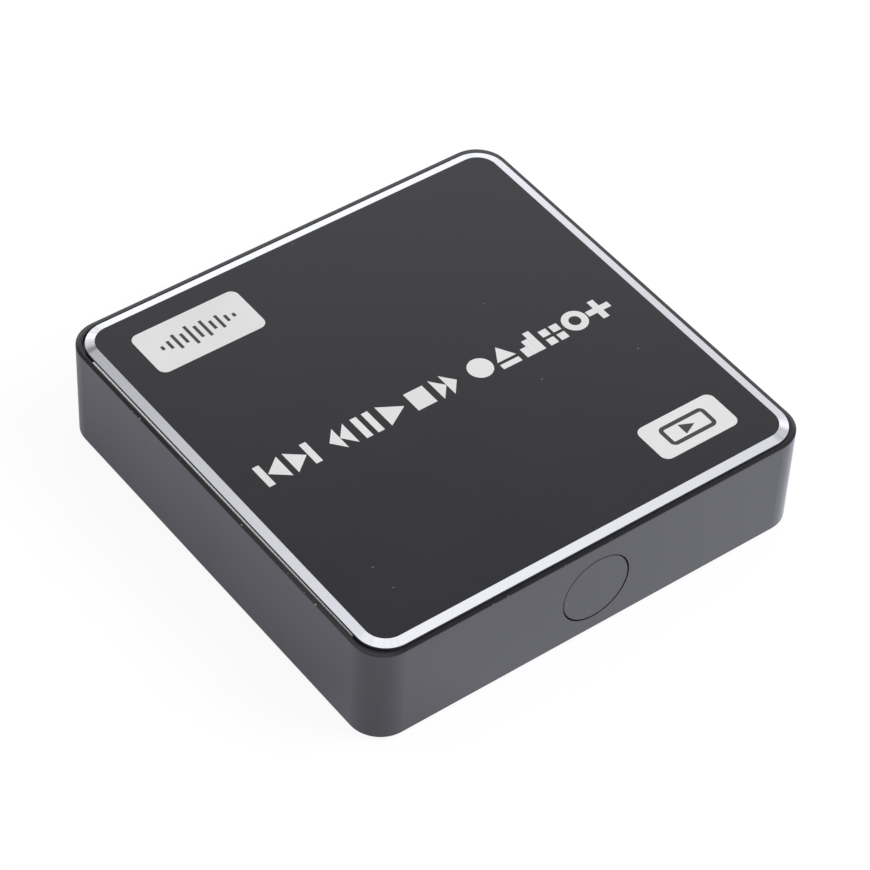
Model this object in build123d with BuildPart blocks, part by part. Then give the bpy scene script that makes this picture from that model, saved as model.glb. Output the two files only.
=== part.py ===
from build123d import *
from math import cos, sin, tau
import os

os.makedirs("parts", exist_ok=True)

# Driving dimensions, in millimetres. X is the width, Y the depth with the front at -Y, Z is up.
# The origin is on the table, under the middle of the body.

# Body
body_width = 90.0
body_depth = 90.0
body_height = 20.6  # base edge to the face of the top plate
corner_radius = 5.9
wall = 2.2
foot_stand = 0.8  # how far the feet lift the base edge off the table
cut_overrun = 1.0  # how far a cut runs past the face that it opens
insert_gap = 0.05  # room around a piece that is pushed into its seat
port_recess = 0.4  # how far a socket's mouth lies inside the wall's outer face
port_gap = 0.3  # room between a socket and its hole in the wall
boss_gap = 1.0  # boss to the nearest socket

# Upper housing
deck_thickness = 1.6
rim_width = 0.8
rim_drop = 0.8  # the rim lies this far below the face of the plate
rim_slope_width = 0.6  # the rim's outer part falls gently to the wall
rim_slope_drop = 0.08
base_edge_chamfer = 0.1
rebate_width = 1.1  # step in the wall that seats the base cover
boss_inset = 7.0  # boss axis from the wall's outer face
boss_radius = 3.0
boss_rib = 1.2

# Top plate and the tape that holds it
plate_thickness = 1.0
plate_radius = 5.5
plate_gap = 0.35
plate_shift_x = 0.1  # the plate lies this far right of the middle
plate_shift_y = -0.15  # and this far in front of it
bevel_width = 1.65
bevel_drop = 0.45
tape_thickness = 0.5
tape_width = 6.0
tape_inset = 2.5  # strips other than the left one lie this far inside the plate's edge
tape_end_inset = 1.2  # side strips stop this far short of the plate's rounded corners
tape_show_back = 0.3  # the left strip's back end stands out this far past the plate's edge
tape_show_front = 0.12  # and its front end, as the strip lies a little askew

# Base cover
cover_thickness = 1.8
cover_gap = 0.15
vent_length = 18.0
vent_width = 1.6
vent_spacing = 4.2
vent_count = 7
vent_column_spacing = 22.0
vent_chamfer = 0.5

# Feet
foot_radius = 5.0
foot_inset = 14.0  # foot axis from the wall's outer face
foot_recess = 0.5
foot_gap = 0.1

# Screws that close the base cover
screw_radius = 1.15
screw_length = 8.0
screw_head_radius = 2.1
screw_head_height = 0.8
screw_head_gap = 0.3
screw_hole_gap = 0.2
thread_gap = 0.05

# Main board, the posts that it lies on and the snap hooks that hold it down
board_gap = 2.4  # cover to board, the height of the posts
board_thickness = 1.6
board_edge_gap = 2.4  # board to wall at the sides and the back
board_front_gap = 3.6
board_notch_gap = 0.6
post_size = 5.0
post_rib = 1.2
post_shares = ((-0.4, -0.36), (0.06, -0.42), (0.38, -0.3), (-0.4, 0.34), (0.28, 0.4))  # of the board's size
hook_thickness = 1.0
hook_width = 3.2
hook_gap = 0.15  # arm to the board's edge
hook_lift = 0.1  # nose to the board's face
hook_nose = 0.7
hook_ramp = 1.4
hook_shares = (-0.2, 0.2)  # left hooks, of the board's depth
hook_side_gap = 3.0  # data socket to the hook behind it
component_gap = 2.0  # room between neighbours on the board

# Power key, moulded in smoked plastic, with its switch, the infrared eye and the lamp behind it
key_radius = 6.7
key_gap = 0.2
key_drop = 0.15  # key axis below the middle of the wall
key_face = 1.2
key_skirt = 1.5
key_seat_gap = 0.05
key_edge_chamfer = 0.15
key_ear = 0.9  # how far each ear reaches behind the wall
key_ear_height = 5.0
key_ear_thickness = 0.8
key_travel = 0.4
plunger_width = 2.4
switch_width = 4.6
switch_depth = 3.4
switch_stem_radius = 1.1
switch_stem_reach = 1.2
switch_stem_seat = 1.2  # length of stem inside the switch
switch_stem_gap = 0.1
switch_top = 2.4  # body above the stem's axis
eye_width = 3.8
eye_depth = 2.6
eye_lens_radius = 1.3
lamp_width = 2.6
lamp_depth = 1.4
lamp_height = 1.5
lamp_lens_radius = 0.6
front_part_gap = 0.3

# Processor, its pad and heat sink, and the parts around it
processor_size = 15.0
processor_base = 0.6
processor_lid_size = 11.5
processor_lid = 0.6
processor_shares = (-0.14, -0.04)  # place, of the board's size
pad_thickness = 0.5
sink_size = 26.0
sink_base = 2.0
sink_headroom = 3.2  # fin tips to the deck
fin_count = 8
fin_thickness = 1.1
memory_width = 8.0
memory_length = 12.5
memory_height = 1.1
flash_width = 6.0
flash_length = 8.0
flash_height = 0.8
crystal_length = 11.0
crystal_width = 4.6
crystal_height = 3.4
crystal_flange = 0.5
coil_size = 6.0
coil_height = 3.0
coil_chamfer = 1.2
can_radius = 3.15
can_height = 5.4
can_base_size = 6.6
can_base_height = 0.9
can_base_chamfer = 1.3
can_count = 2
chip_length = 1.6
chip_width = 0.8
chip_height = 0.8
chip_spacing = 2.6
chip_columns = 4
chip_rows = 4
chip_share = -0.29  # place, of the board's width

# Back wall: sound, picture and power sockets, with a data socket between the last two
video_opening_width = 14.0
video_opening_height = 4.55
video_taper_width = 1.8
video_taper_height = 1.6
video_sheet = 0.35
video_depth = 11.6
video_block_depth = 2.6
video_tongue_width = 11.2
video_tongue_thickness = 1.6
video_tongue_rise = 0.3
video_tongue_recess = 2.0
video_contact_spacing = 1.0
video_contact_width = 0.5
video_contact_thickness = 0.12
video_contact_tip = 0.6  # tongue tip to contact
video_upper_contacts = 10
video_lower_contacts = 9
dc_body_width = 6.6
dc_body_height = 6.6
dc_body_depth = 10.6
dc_nose_radius = 2.9
dc_bore_radius = 2.0
dc_bore_depth = 9.0
dc_pin_radius = 0.65
dc_pin_recess = 1.2
dc_pin_root_radius = 0.95
dc_pin_seat = 1.0
dc_spring_width = 2.0
dc_spring_thickness = 0.3
av_body_width = 6.0
av_body_height = 5.0
av_body_depth = 11.4
av_nose_radius = 2.4
av_bore_radius = 1.8
av_bore_depth = 12.4
av_contact_length = 1.6
av_contact_width = 0.9
av_contact_thickness = 0.25
av_contact_count = 3

# Flat data sockets, one in the right wall and one in the back wall
data_opening_width = 12.5
data_opening_height = 5.12
data_corner = 0.6
data_sheet = 0.3
data_depth = 14.0
data_block_depth = 3.0
data_tongue_width = 11.1
data_tongue_thickness = 1.84
data_tongue_rise = 0.75
data_tongue_recess = 2.1
data_inner_spacing = 2.0
data_outer_spacing = 2.5
data_contact_width = 1.0
data_contact_thickness = 0.25
data_contact_tip = 0.9  # tongue tip to contact

# Right wall: card slot and its push-in push-out socket
side_port_gap = 5.0  # card socket to data socket
card_width = 24.0
card_thickness = 2.1
card_slot_gap = 0.25
card_lead_in = 0.5  # bevel around the slot's mouth
card_mouth_gap = 0.2  # socket's mouth to the wall
card_socket_depth = 28.5
card_floor = 0.6
card_channel_height = 2.6
card_side_gap = 0.2
card_rail = 1.6
card_outer_rail = 0.7
card_back_wall = 1.2
card_sheet = 0.25
card_window_length = 9.0
card_window_width = 3.0
card_contact_spacing = 2.5
card_contact_count = 9
card_contact_width = 1.1
card_contact_length = 7.0
card_contact_thickness = 0.2
card_contact_back = 4.0  # back wall to contact
slide_width = 2.7
slide_gap = 0.15
slide_height = 1.75
slide_length = 13.0
slide_back_gap = 5.2  # slide to the back wall at rest
slide_travel = 4.5
slide_arm_reach = 1.6
slide_arm_thickness = 1.2
slide_slot_width = 1.7
slide_slot_end = 1.0  # slot to each end of the slide
slide_slot_height = 1.2
stop_post_length = 1.0
stop_post_width = 1.3
spring_coil_radius = 0.4
spring_wire = 0.2
spring_turns = 6
spring_sides = 8  # straight lengths in a turn
latch_wire_radius = 0.2
latch_wire_sides = 8
latch_groove_width = 0.9
latch_groove_depth = 0.3
latch_leg_gap = 1.6  # slide's outer end to the wire's anchored leg

# Heights
base_z = foot_stand
top_z = base_z + body_height
rim_z = top_z - rim_drop
deck_z = top_z - plate_thickness - tape_thickness
ceiling_z = deck_z - deck_thickness
cover_top_z = base_z + cover_thickness
board_z = cover_top_z + board_gap
board_top_z = board_z + board_thickness
key_z = (base_z + rim_z) / 2 - key_drop

# Plan sizes that follow from the body
half_width = body_width / 2
half_depth = body_depth / 2
plate_width = body_width - 2 * (rim_width + plate_gap)
plate_depth = body_depth - 2 * (rim_width + plate_gap)
rebate_inset = wall - rebate_width
boss_x = half_width - boss_inset
boss_y = half_depth - boss_inset
foot_x = half_width - foot_inset
foot_y = half_depth - foot_inset
board_width = body_width - 2 * (wall + board_edge_gap)
board_depth = body_depth - 2 * wall - board_edge_gap - board_front_gap
board_centre_y = (board_front_gap - board_edge_gap) / 2
board_front_y = board_centre_y - board_depth / 2
processor_x = processor_shares[0] * board_width
processor_y = board_centre_y + processor_shares[1] * board_depth

# Socket places: the back row fills the room between the bosses, the side row starts at the front boss.
video_shell_width = video_opening_width + 2 * video_sheet
data_shell_width = data_opening_width + 2 * data_sheet
data_shell_height = data_opening_height + 2 * data_sheet
back_row = 2 * (boss_x - boss_radius - boss_gap)
av_width = av_body_width + 2 * av_contact_length
back_widths = (av_width, video_shell_width, data_shell_width, dc_body_width)
back_gap = (back_row - sum(back_widths)) / (len(back_widths) - 1)
av_x = (av_width - back_row) / 2
video_x = av_x + (av_width + video_shell_width) / 2 + back_gap
back_data_x = video_x + (video_shell_width + data_shell_width) / 2 + back_gap
dc_x = (back_row - dc_body_width) / 2
video_z = board_top_z + video_sheet + video_opening_height / 2
dc_z = board_top_z + dc_body_height / 2
av_z = board_top_z + av_body_height / 2
data_z = board_top_z + data_shell_height / 2
card_channel_width = card_width + 2 * card_side_gap
slide_channel_width = slide_width + 2 * slide_gap
card_socket_width = card_rail + card_channel_width + slide_channel_width + card_outer_rail
card_start_y = boss_radius + boss_gap - boss_y
card_end_y = card_start_y + card_socket_width
side_data_y = card_end_y + side_port_gap + data_shell_width / 2
post_places = [(x * board_width, board_centre_y + y * board_depth) for x, y in post_shares]
hook_reach = board_gap + board_thickness + hook_lift
hook_places = [(-1, board_centre_y + share * board_depth) for share in hook_shares]
hook_places.append((1, card_end_y + side_port_gap / 2))
hook_places.append((1, side_data_y + (data_shell_width + hook_width) / 2 + hook_side_gap))
data_hole_width = data_shell_width + 2 * port_gap
data_hole_height = data_shell_height + 2 * port_gap
data_hole_corner = data_corner + data_sheet + port_gap
card_slot_width = card_width + 2 * card_slot_gap
card_slot_height = card_thickness + 2 * card_slot_gap
card_socket_y = card_start_y + card_socket_width / 2
card_centre_y = card_start_y + card_rail + card_channel_width / 2
card_mouth_x = half_width - wall - card_mouth_gap
card_back_x = card_mouth_x - card_socket_depth
card_floor_z = board_top_z + card_floor
card_cover_z = card_floor_z + card_channel_height
card_slot_z = card_floor_z + card_thickness / 2


def front_face(x, z, inset=0):
    """Plane on the front wall, seen from the front, moved into the body by an inset."""
    return Plane(origin=(x, inset - half_depth, z), x_dir=(1, 0, 0), z_dir=(0, -1, 0))


def back_face(x, z, inset=0):
    """Plane on the back wall, seen from behind, moved into the body by an inset."""
    return Plane(origin=(x, half_depth - inset, z), x_dir=(-1, 0, 0), z_dir=(0, 1, 0))


def right_face(y, z, inset=0):
    """Plane on the right wall, seen from the right, moved into the body by an inset."""
    return Plane(origin=(half_width - inset, y, z), x_dir=(0, 1, 0), z_dir=(1, 0, 0))


def video_mouth(grow):
    """The picture socket's mouth, wide at the top and tapered at its lower corners, grown all round."""
    half_top = video_opening_width / 2
    half_low = half_top - video_taper_width
    top = video_opening_height / 2
    shoulder = video_taper_height - top
    with BuildSketch() as mouth:
        with BuildLine():
            Polyline(
                (-half_top, top),
                (half_top, top),
                (half_top, shoulder),
                (half_low, -top),
                (-half_low, -top),
                (-half_top, shoulder),
                close=True,
            )
        make_face()
        if grow:
            offset(amount=grow, kind=Kind.INTERSECTION)
    return mouth.sketch


def save(piece, name):
    """Labels a finished piece and writes it under that name."""
    piece.part.label = name
    export_step(piece.part, f"parts/{name}.step")


# Upper housing: four walls, the rim and the deck under the plate in one moulding.
with BuildPart() as housing:
    with BuildSketch(Plane.XY.offset(base_z)):
        RectangleRounded(body_width, body_depth, corner_radius)
    extrude(amount=rim_z - base_z)
    rim_face = housing.faces().sort_by(Axis.Z)[-1]
    chamfer(rim_face.edges(), length=rim_slope_width, length2=rim_slope_drop, reference=rim_face)
    chamfer(housing.faces().sort_by(Axis.Z)[0].edges(), base_edge_chamfer)
    # Recess for the plate and its tape
    with BuildSketch(Plane.XY.offset(deck_z)):
        RectangleRounded(plate_width + 2 * plate_gap, plate_depth + 2 * plate_gap, plate_radius + plate_gap)
    extrude(amount=rim_z - deck_z + cut_overrun, mode=Mode.SUBTRACT)
    # Hollow inside, and the step at its mouth that the base cover lies in
    with BuildSketch(Plane.XY.offset(base_z - cut_overrun)):
        RectangleRounded(body_width - 2 * wall, body_depth - 2 * wall, corner_radius - wall)
    extrude(amount=ceiling_z - base_z + cut_overrun, mode=Mode.SUBTRACT)
    with BuildSketch(Plane.XY.offset(base_z - cut_overrun)):
        RectangleRounded(
            body_width - 2 * rebate_inset, body_depth - 2 * rebate_inset, corner_radius - rebate_inset
        )
    extrude(amount=cover_thickness + cut_overrun, mode=Mode.SUBTRACT)
    # Screw bosses that hang from the deck, each tied to both walls of its corner
    with BuildSketch(Plane.XY.offset(cover_top_z)):
        with GridLocations(2 * boss_x, 2 * boss_y, 2, 2):
            Circle(boss_radius)
        rib_reach = boss_inset - wall / 2
        with GridLocations(2 * boss_x + rib_reach, 2 * boss_y, 2, 2):
            Rectangle(rib_reach, boss_rib)
        with GridLocations(2 * boss_x, 2 * boss_y + rib_reach, 2, 2):
            Rectangle(boss_rib, rib_reach)
    extrude(amount=ceiling_z - cover_top_z)
    with BuildSketch(Plane.XY.offset(cover_top_z)):
        with GridLocations(2 * boss_x, 2 * boss_y, 2, 2):
            Circle(screw_radius + thread_gap)
    extrude(amount=screw_length, mode=Mode.SUBTRACT)
    # Holes in the walls
    with BuildSketch(front_face(0, key_z, -cut_overrun)):
        Circle(key_radius + key_gap)
    extrude(amount=-wall - 2 * cut_overrun, mode=Mode.SUBTRACT)
    with BuildSketch(back_face(0, 0, -cut_overrun)):
        with Locations((-dc_x, dc_z)):
            Circle(dc_nose_radius + port_gap)
        with Locations((-av_x, av_z)):
            Circle(av_nose_radius + port_gap)
        with Locations((-video_x, video_z)):
            add(video_mouth(video_sheet + port_gap))
        with Locations((-back_data_x, data_z)):
            RectangleRounded(data_hole_width, data_hole_height, data_hole_corner)
    extrude(amount=-wall - 2 * cut_overrun, mode=Mode.SUBTRACT)
    with BuildSketch(right_face(0, 0, -cut_overrun)):
        with Locations((side_data_y, data_z)):
            RectangleRounded(data_hole_width, data_hole_height, data_hole_corner)
        with Locations((card_centre_y, card_slot_z)):
            Rectangle(card_slot_width, card_slot_height)
    extrude(amount=-wall - 2 * cut_overrun, mode=Mode.SUBTRACT)
    with BuildSketch(right_face(card_centre_y, card_slot_z)):
        Rectangle(card_slot_width + 2 * card_lead_in, card_slot_height + 2 * card_lead_in)
    extrude(amount=-card_lead_in, taper=45, mode=Mode.SUBTRACT)
save(housing, "upper_housing")

# Top plate: a thin anodised sheet with a bright bevel cut all round.
with BuildPart() as top_plate:
    with BuildSketch(Plane(origin=(plate_shift_x, plate_shift_y, top_z - plate_thickness))):
        RectangleRounded(plate_width, plate_depth, plate_radius)
    extrude(amount=plate_thickness)
    plate_face = top_plate.faces().sort_by(Axis.Z)[-1]
    chamfer(plate_face.edges(), length=bevel_width, length2=bevel_drop, reference=plate_face)
save(top_plate, "top_plate")

# Four strips of foam tape. The left one stands out past the plate's edge and shows in the gap.
with BuildPart() as plate_tape:
    side_strip = plate_depth - 2 * (plate_radius + tape_end_inset)
    cross_strip = plate_width - 2 * (tape_width + tape_inset + tape_inset)
    with BuildSketch(Plane(origin=(plate_shift_x, plate_shift_y, deck_z))):
        with BuildLine():
            Polyline(
                (tape_width - plate_width / 2, side_strip / 2),
                (-tape_show_back - plate_width / 2, side_strip / 2),
                (-tape_show_front - plate_width / 2, -side_strip / 2),
                (tape_width - plate_width / 2, -side_strip / 2),
                close=True,
            )
        make_face()
        with Locations((plate_width / 2 - tape_inset - tape_width / 2, 0)):
            Rectangle(tape_width, side_strip)
        with GridLocations(0, plate_depth - 2 * tape_inset - tape_width, 1, 2):
            Rectangle(cross_strip, tape_width)
    extrude(amount=tape_thickness)
save(plate_tape, "plate_tape")

# Base cover: a flat panel with board posts, snap hooks, vents and seats for the feet.
with BuildPart() as base_cover:
    with BuildSketch(Plane.XY.offset(base_z)):
        RectangleRounded(
            body_width - 2 * (rebate_inset + cover_gap),
            body_depth - 2 * (rebate_inset + cover_gap),
            corner_radius - rebate_inset - cover_gap,
        )
    extrude(amount=cover_thickness)
    with BuildSketch(Plane.XY.offset(base_z)) as vents:
        with GridLocations(vent_column_spacing, vent_spacing, 2, vent_count):
            Rectangle(vent_length, vent_width)
        chamfer(vents.vertices(), vent_chamfer)
    extrude(amount=cover_thickness, mode=Mode.SUBTRACT)
    # Posts of two crossed ribs under the board
    with BuildSketch(Plane.XY.offset(cover_top_z)):
        with Locations(*post_places):
            Rectangle(post_size, post_rib)
            Rectangle(post_rib, post_size)
    extrude(amount=board_gap)
    # Snap hooks along the board's left and right edges, each with a ramped nose over the board
    for side, hook_y in hook_places:
        hook_x = side * (board_width / 2 + hook_gap + hook_thickness)
        hook_plane = Plane(origin=(hook_x, hook_y, cover_top_z), x_dir=(-side, 0, 0), z_dir=(0, side, 0))
        with BuildSketch(hook_plane):
            with BuildLine():
                Polyline(
                    (0, 0),
                    (hook_thickness, 0),
                    (hook_thickness, hook_reach),
                    (hook_thickness + hook_gap + hook_nose, hook_reach),
                    (hook_thickness, hook_reach + hook_ramp),
                    (0, hook_reach + hook_ramp),
                    close=True,
                )
            make_face()
        extrude(amount=hook_width / 2, both=True)
    with BuildSketch(Plane.XY.offset(base_z)):
        with GridLocations(2 * foot_x, 2 * foot_y, 2, 2):
            Circle(foot_radius + foot_gap)
    extrude(amount=foot_recess, mode=Mode.SUBTRACT)
    with Locations(Plane(origin=(0, 0, base_z), z_dir=(0, 0, -1))):
        with GridLocations(2 * boss_x, 2 * boss_y, 2, 2):
            CounterBoreHole(
                radius=screw_radius + screw_hole_gap,
                counter_bore_radius=screw_head_radius + screw_head_gap,
                counter_bore_depth=screw_head_height + screw_head_gap,
            )
save(base_cover, "base_cover")

# Rubber feet, one pad in each recess of the base cover.
for foot_name, side_x, side_y in (
    ("foot_front_left", -1, -1),
    ("foot_front_right", 1, -1),
    ("foot_back_left", -1, 1),
    ("foot_back_right", 1, 1),
):
    with BuildPart() as foot:
        with BuildSketch():
            with Locations((side_x * foot_x, side_y * foot_y)):
                Circle(foot_radius)
        extrude(amount=foot_stand + foot_recess)
    save(foot, foot_name)

# Four screws, driven from below through the base cover into the housing's bosses.
with BuildPart() as cover_screws:
    screw_seat_z = base_z + screw_head_height + screw_head_gap
    with BuildSketch(Plane.XY.offset(screw_seat_z)):
        with GridLocations(2 * boss_x, 2 * boss_y, 2, 2):
            Circle(screw_radius)
    extrude(amount=screw_length)
    with BuildSketch(Plane.XY.offset(screw_seat_z - screw_head_height)):
        with GridLocations(2 * boss_x, 2 * boss_y, 2, 2):
            Circle(screw_head_radius)
    extrude(amount=screw_head_height)
save(cover_screws, "cover_screws")

# Main board, notched at its corners around the housing's bosses.
with BuildPart() as main_board:
    notch_width = boss_inset + boss_radius + board_notch_gap
    with BuildSketch(Plane.XY.offset(board_z)):
        with Locations((0, board_centre_y)):
            Rectangle(board_width, board_depth)
        with GridLocations(body_width - notch_width, body_depth - notch_width, 2, 2):
            Rectangle(notch_width, notch_width, mode=Mode.SUBTRACT)
    extrude(amount=board_thickness)
save(main_board, "main_board")

# Power key: a flush round cap, hollow behind, with two ears behind the wall and a plunger.
key_ear_y = wall + key_seat_gap
key_back_y = key_ear_y + key_ear_thickness
stem_front_y = board_front_y - switch_stem_reach
with BuildPart() as power_key:
    with BuildSketch(front_face(0, key_z)):
        Circle(key_radius)
    extrude(amount=-key_ear_y)
    chamfer(power_key.faces().sort_by(Axis.Y)[0].edges(), key_edge_chamfer)
    with BuildSketch(front_face(0, key_z, key_face)):
        Circle(key_radius - key_skirt)
    extrude(amount=key_face - key_ear_y, mode=Mode.SUBTRACT)
    with BuildSketch(front_face(0, key_z, key_ear_y)):
        Rectangle(2 * (key_radius + key_ear), key_ear_height)
    extrude(amount=-key_ear_thickness)
    with BuildSketch(front_face(0, key_z, key_back_y)):
        Rectangle(plunger_width, plunger_width)
    extrude(amount=key_back_y - half_depth - stem_front_y)
save(power_key, "power_key")

# Switch behind the key: its body stands on the board's front edge and its stem meets the plunger.
with BuildPart() as switch_body:
    with BuildSketch(Plane.XY.offset(board_top_z)):
        with Locations((0, board_front_y + switch_depth / 2)):
            Rectangle(switch_width, switch_depth)
    extrude(amount=key_z + switch_top - board_top_z)
    with BuildSketch(Plane(origin=(0, board_front_y, key_z), x_dir=(1, 0, 0), z_dir=(0, -1, 0))):
        Circle(switch_stem_radius + switch_stem_gap)
    extrude(amount=-switch_stem_seat - key_travel - switch_stem_gap, mode=Mode.SUBTRACT)
save(switch_body, "key_switch_body")

with BuildPart() as switch_stem:
    with BuildSketch(Plane(origin=(0, stem_front_y, key_z), x_dir=(1, 0, 0), z_dir=(0, -1, 0))):
        Circle(switch_stem_radius)
    extrude(amount=-switch_stem_reach - switch_stem_seat)
save(switch_stem, "key_switch_stem")

# Infrared eye: a moulded block with an upright half-round lens that looks out through the key.
with BuildPart() as infrared_eye:
    eye_x = -(switch_width + eye_width) / 2 - front_part_gap
    eye_front_y = board_front_y + eye_lens_radius
    with BuildSketch(Plane.XY.offset(board_top_z)):
        with Locations((eye_x, eye_front_y + eye_depth / 2)):
            Rectangle(eye_width, eye_depth)
        with Locations((eye_x, eye_front_y)):
            Circle(eye_lens_radius)
    extrude(amount=key_z - board_top_z + eye_width / 2)
save(infrared_eye, "infrared_eye")

# Status lamp: a side-looking lamp with a small half-round lens, on the other side of the switch.
with BuildPart() as status_lamp:
    lamp_x = (switch_width + lamp_width) / 2 + front_part_gap
    lamp_front_y = board_front_y + lamp_lens_radius
    with BuildSketch(Plane.XY.offset(board_top_z)):
        with Locations((lamp_x, lamp_front_y + lamp_depth / 2)):
            Rectangle(lamp_width, lamp_depth)
        with Locations((lamp_x, lamp_front_y)):
            Circle(lamp_lens_radius)
    extrude(amount=lamp_height)
save(status_lamp, "status_lamp")

# Processor, thermal pad and finned heat sink, stacked.
processor_top_z = board_top_z + processor_base + processor_lid
sink_z = processor_top_z + pad_thickness
with BuildPart() as processor:
    with BuildSketch(Plane.XY.offset(board_top_z)):
        with Locations((processor_x, processor_y)):
            Rectangle(processor_size, processor_size)
    extrude(amount=processor_base)
    with BuildSketch(Plane.XY.offset(board_top_z + processor_base)):
        with Locations((processor_x, processor_y)):
            Rectangle(processor_lid_size, processor_lid_size)
    extrude(amount=processor_lid)
save(processor, "processor")

with BuildPart() as thermal_pad:
    with BuildSketch(Plane.XY.offset(processor_top_z)):
        with Locations((processor_x, processor_y)):
            Rectangle(processor_lid_size, processor_lid_size)
    extrude(amount=pad_thickness)
save(thermal_pad, "thermal_pad")

with BuildPart() as heat_sink:
    with BuildSketch(Plane.XY.offset(sink_z)):
        with Locations((processor_x, processor_y)):
            Rectangle(sink_size, sink_size)
    extrude(amount=sink_base)
    fin_spacing = (sink_size - fin_thickness) / (fin_count - 1)
    with BuildSketch(Plane.XY.offset(sink_z + sink_base)):
        with Locations((processor_x, processor_y)):
            with GridLocations(fin_spacing, 0, fin_count, 1):
                Rectangle(fin_thickness, sink_size)
    extrude(amount=ceiling_z - sink_headroom - sink_z - sink_base)
save(heat_sink, "heat_sink")

# Parts around the processor, each set off from the heat sink's edge.
sink_left = processor_x - sink_size / 2
sink_right = processor_x + sink_size / 2
sink_front = processor_y - sink_size / 2
sink_back = processor_y + sink_size / 2

with BuildPart() as memory_chips:
    memory_x = sink_left - component_gap - memory_width / 2
    with BuildSketch(Plane.XY.offset(board_top_z)):
        with Locations((memory_x, processor_y)):
            with GridLocations(0, memory_length + component_gap, 1, 2):
                Rectangle(memory_width, memory_length)
    extrude(amount=memory_height)
save(memory_chips, "memory_chips")

with BuildPart() as flash_chip:
    with BuildSketch(Plane.XY.offset(board_top_z)):
        with Locations((processor_x, (sink_front + board_front_y) / 2)):
            Rectangle(flash_length, flash_width)
    extrude(amount=flash_height)
save(flash_chip, "flash_chip")

coil_place = (processor_x, sink_back + component_gap + coil_size / 2)
with BuildPart() as crystal:
    crystal_x = coil_place[0] - (coil_size + crystal_length) / 2 - component_gap - crystal_flange
    with BuildSketch(Plane.XY.offset(board_top_z)):
        with Locations((crystal_x, coil_place[1])):
            Rectangle(crystal_length + 2 * crystal_flange, crystal_width + 2 * crystal_flange)
    extrude(amount=crystal_flange)
    with BuildSketch(Plane.XY.offset(board_top_z + crystal_flange)):
        with Locations((crystal_x, coil_place[1])):
            SlotOverall(crystal_length, crystal_width)
    extrude(amount=crystal_height - crystal_flange)
save(crystal, "crystal")

with BuildPart() as power_coil:
    with BuildSketch(Plane.XY.offset(board_top_z)) as coil_plan:
        with Locations(coil_place):
            Rectangle(coil_size, coil_size)
        chamfer(coil_plan.vertices(), coil_chamfer)
    extrude(amount=coil_height)
save(power_coil, "power_coil")

# Electrolytic cans behind the card socket, each on a moulded base with two cut corners.
with BuildPart() as capacitors:
    can_x = sink_right + component_gap + can_base_size / 2
    can_spacing = can_base_size + component_gap
    can_start_y = card_end_y + component_gap + can_base_size / 2
    can_places = [(can_x, can_start_y + n * can_spacing) for n in range(can_count)]
    with BuildSketch(Plane.XY.offset(board_top_z)) as can_bases:
        with Locations(*can_places):
            Rectangle(can_base_size, can_base_size)
        chamfer(can_bases.vertices().group_by(Axis.X)[-1], can_base_chamfer)
    extrude(amount=can_base_height)
    with BuildSketch(Plane.XY.offset(board_top_z + can_base_height)):
        with Locations(*can_places):
            Circle(can_radius)
    extrude(amount=can_height - can_base_height)
save(capacitors, "capacitors")

with BuildPart() as chip_parts:
    chip_x = chip_share * board_width
    memory_front = processor_y - memory_length - component_gap / 2
    chip_y = (memory_front + board_front_y) / 2
    with BuildSketch(Plane.XY.offset(board_top_z)):
        with Locations((chip_x, chip_y)):
            with GridLocations(chip_spacing, chip_spacing, chip_columns, chip_rows):
                Rectangle(chip_length, chip_width)
    extrude(amount=chip_height)
save(chip_parts, "chip_parts")

# Picture socket: a bent steel shell, a moulded tongue and two rows of contacts.
video_tongue_z = video_z + video_tongue_rise
video_inside = video_depth - video_block_depth
with BuildPart() as video_shell:
    with BuildSketch(back_face(video_x, video_z, port_recess)):
        add(video_mouth(video_sheet))
        add(video_mouth(0), mode=Mode.SUBTRACT)
    extrude(amount=-video_depth)
save(video_shell, "video_socket_shell")

with BuildPart() as video_tongue:
    with BuildSketch(back_face(video_x, video_z, port_recess + video_inside)):
        add(video_mouth(-insert_gap))
    extrude(amount=-video_block_depth)
    with BuildSketch(back_face(video_x, video_tongue_z, port_recess + video_inside)):
        Rectangle(video_tongue_width, video_tongue_thickness)
    extrude(amount=video_inside - video_tongue_recess)
save(video_tongue, "video_socket_tongue")

with BuildPart() as video_contacts:
    contact_offset = (video_tongue_thickness + video_contact_thickness) / 2
    with BuildSketch(back_face(video_x, video_tongue_z, port_recess + video_inside)):
        with Locations((0, contact_offset)):
            with GridLocations(video_contact_spacing, 0, video_upper_contacts, 1):
                Rectangle(video_contact_width, video_contact_thickness)
        with Locations((0, -contact_offset)):
            with GridLocations(video_contact_spacing, 0, video_lower_contacts, 1):
                Rectangle(video_contact_width, video_contact_thickness)
    extrude(amount=video_inside - video_tongue_recess - video_contact_tip)
save(video_contacts, "video_socket_contacts")

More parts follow.
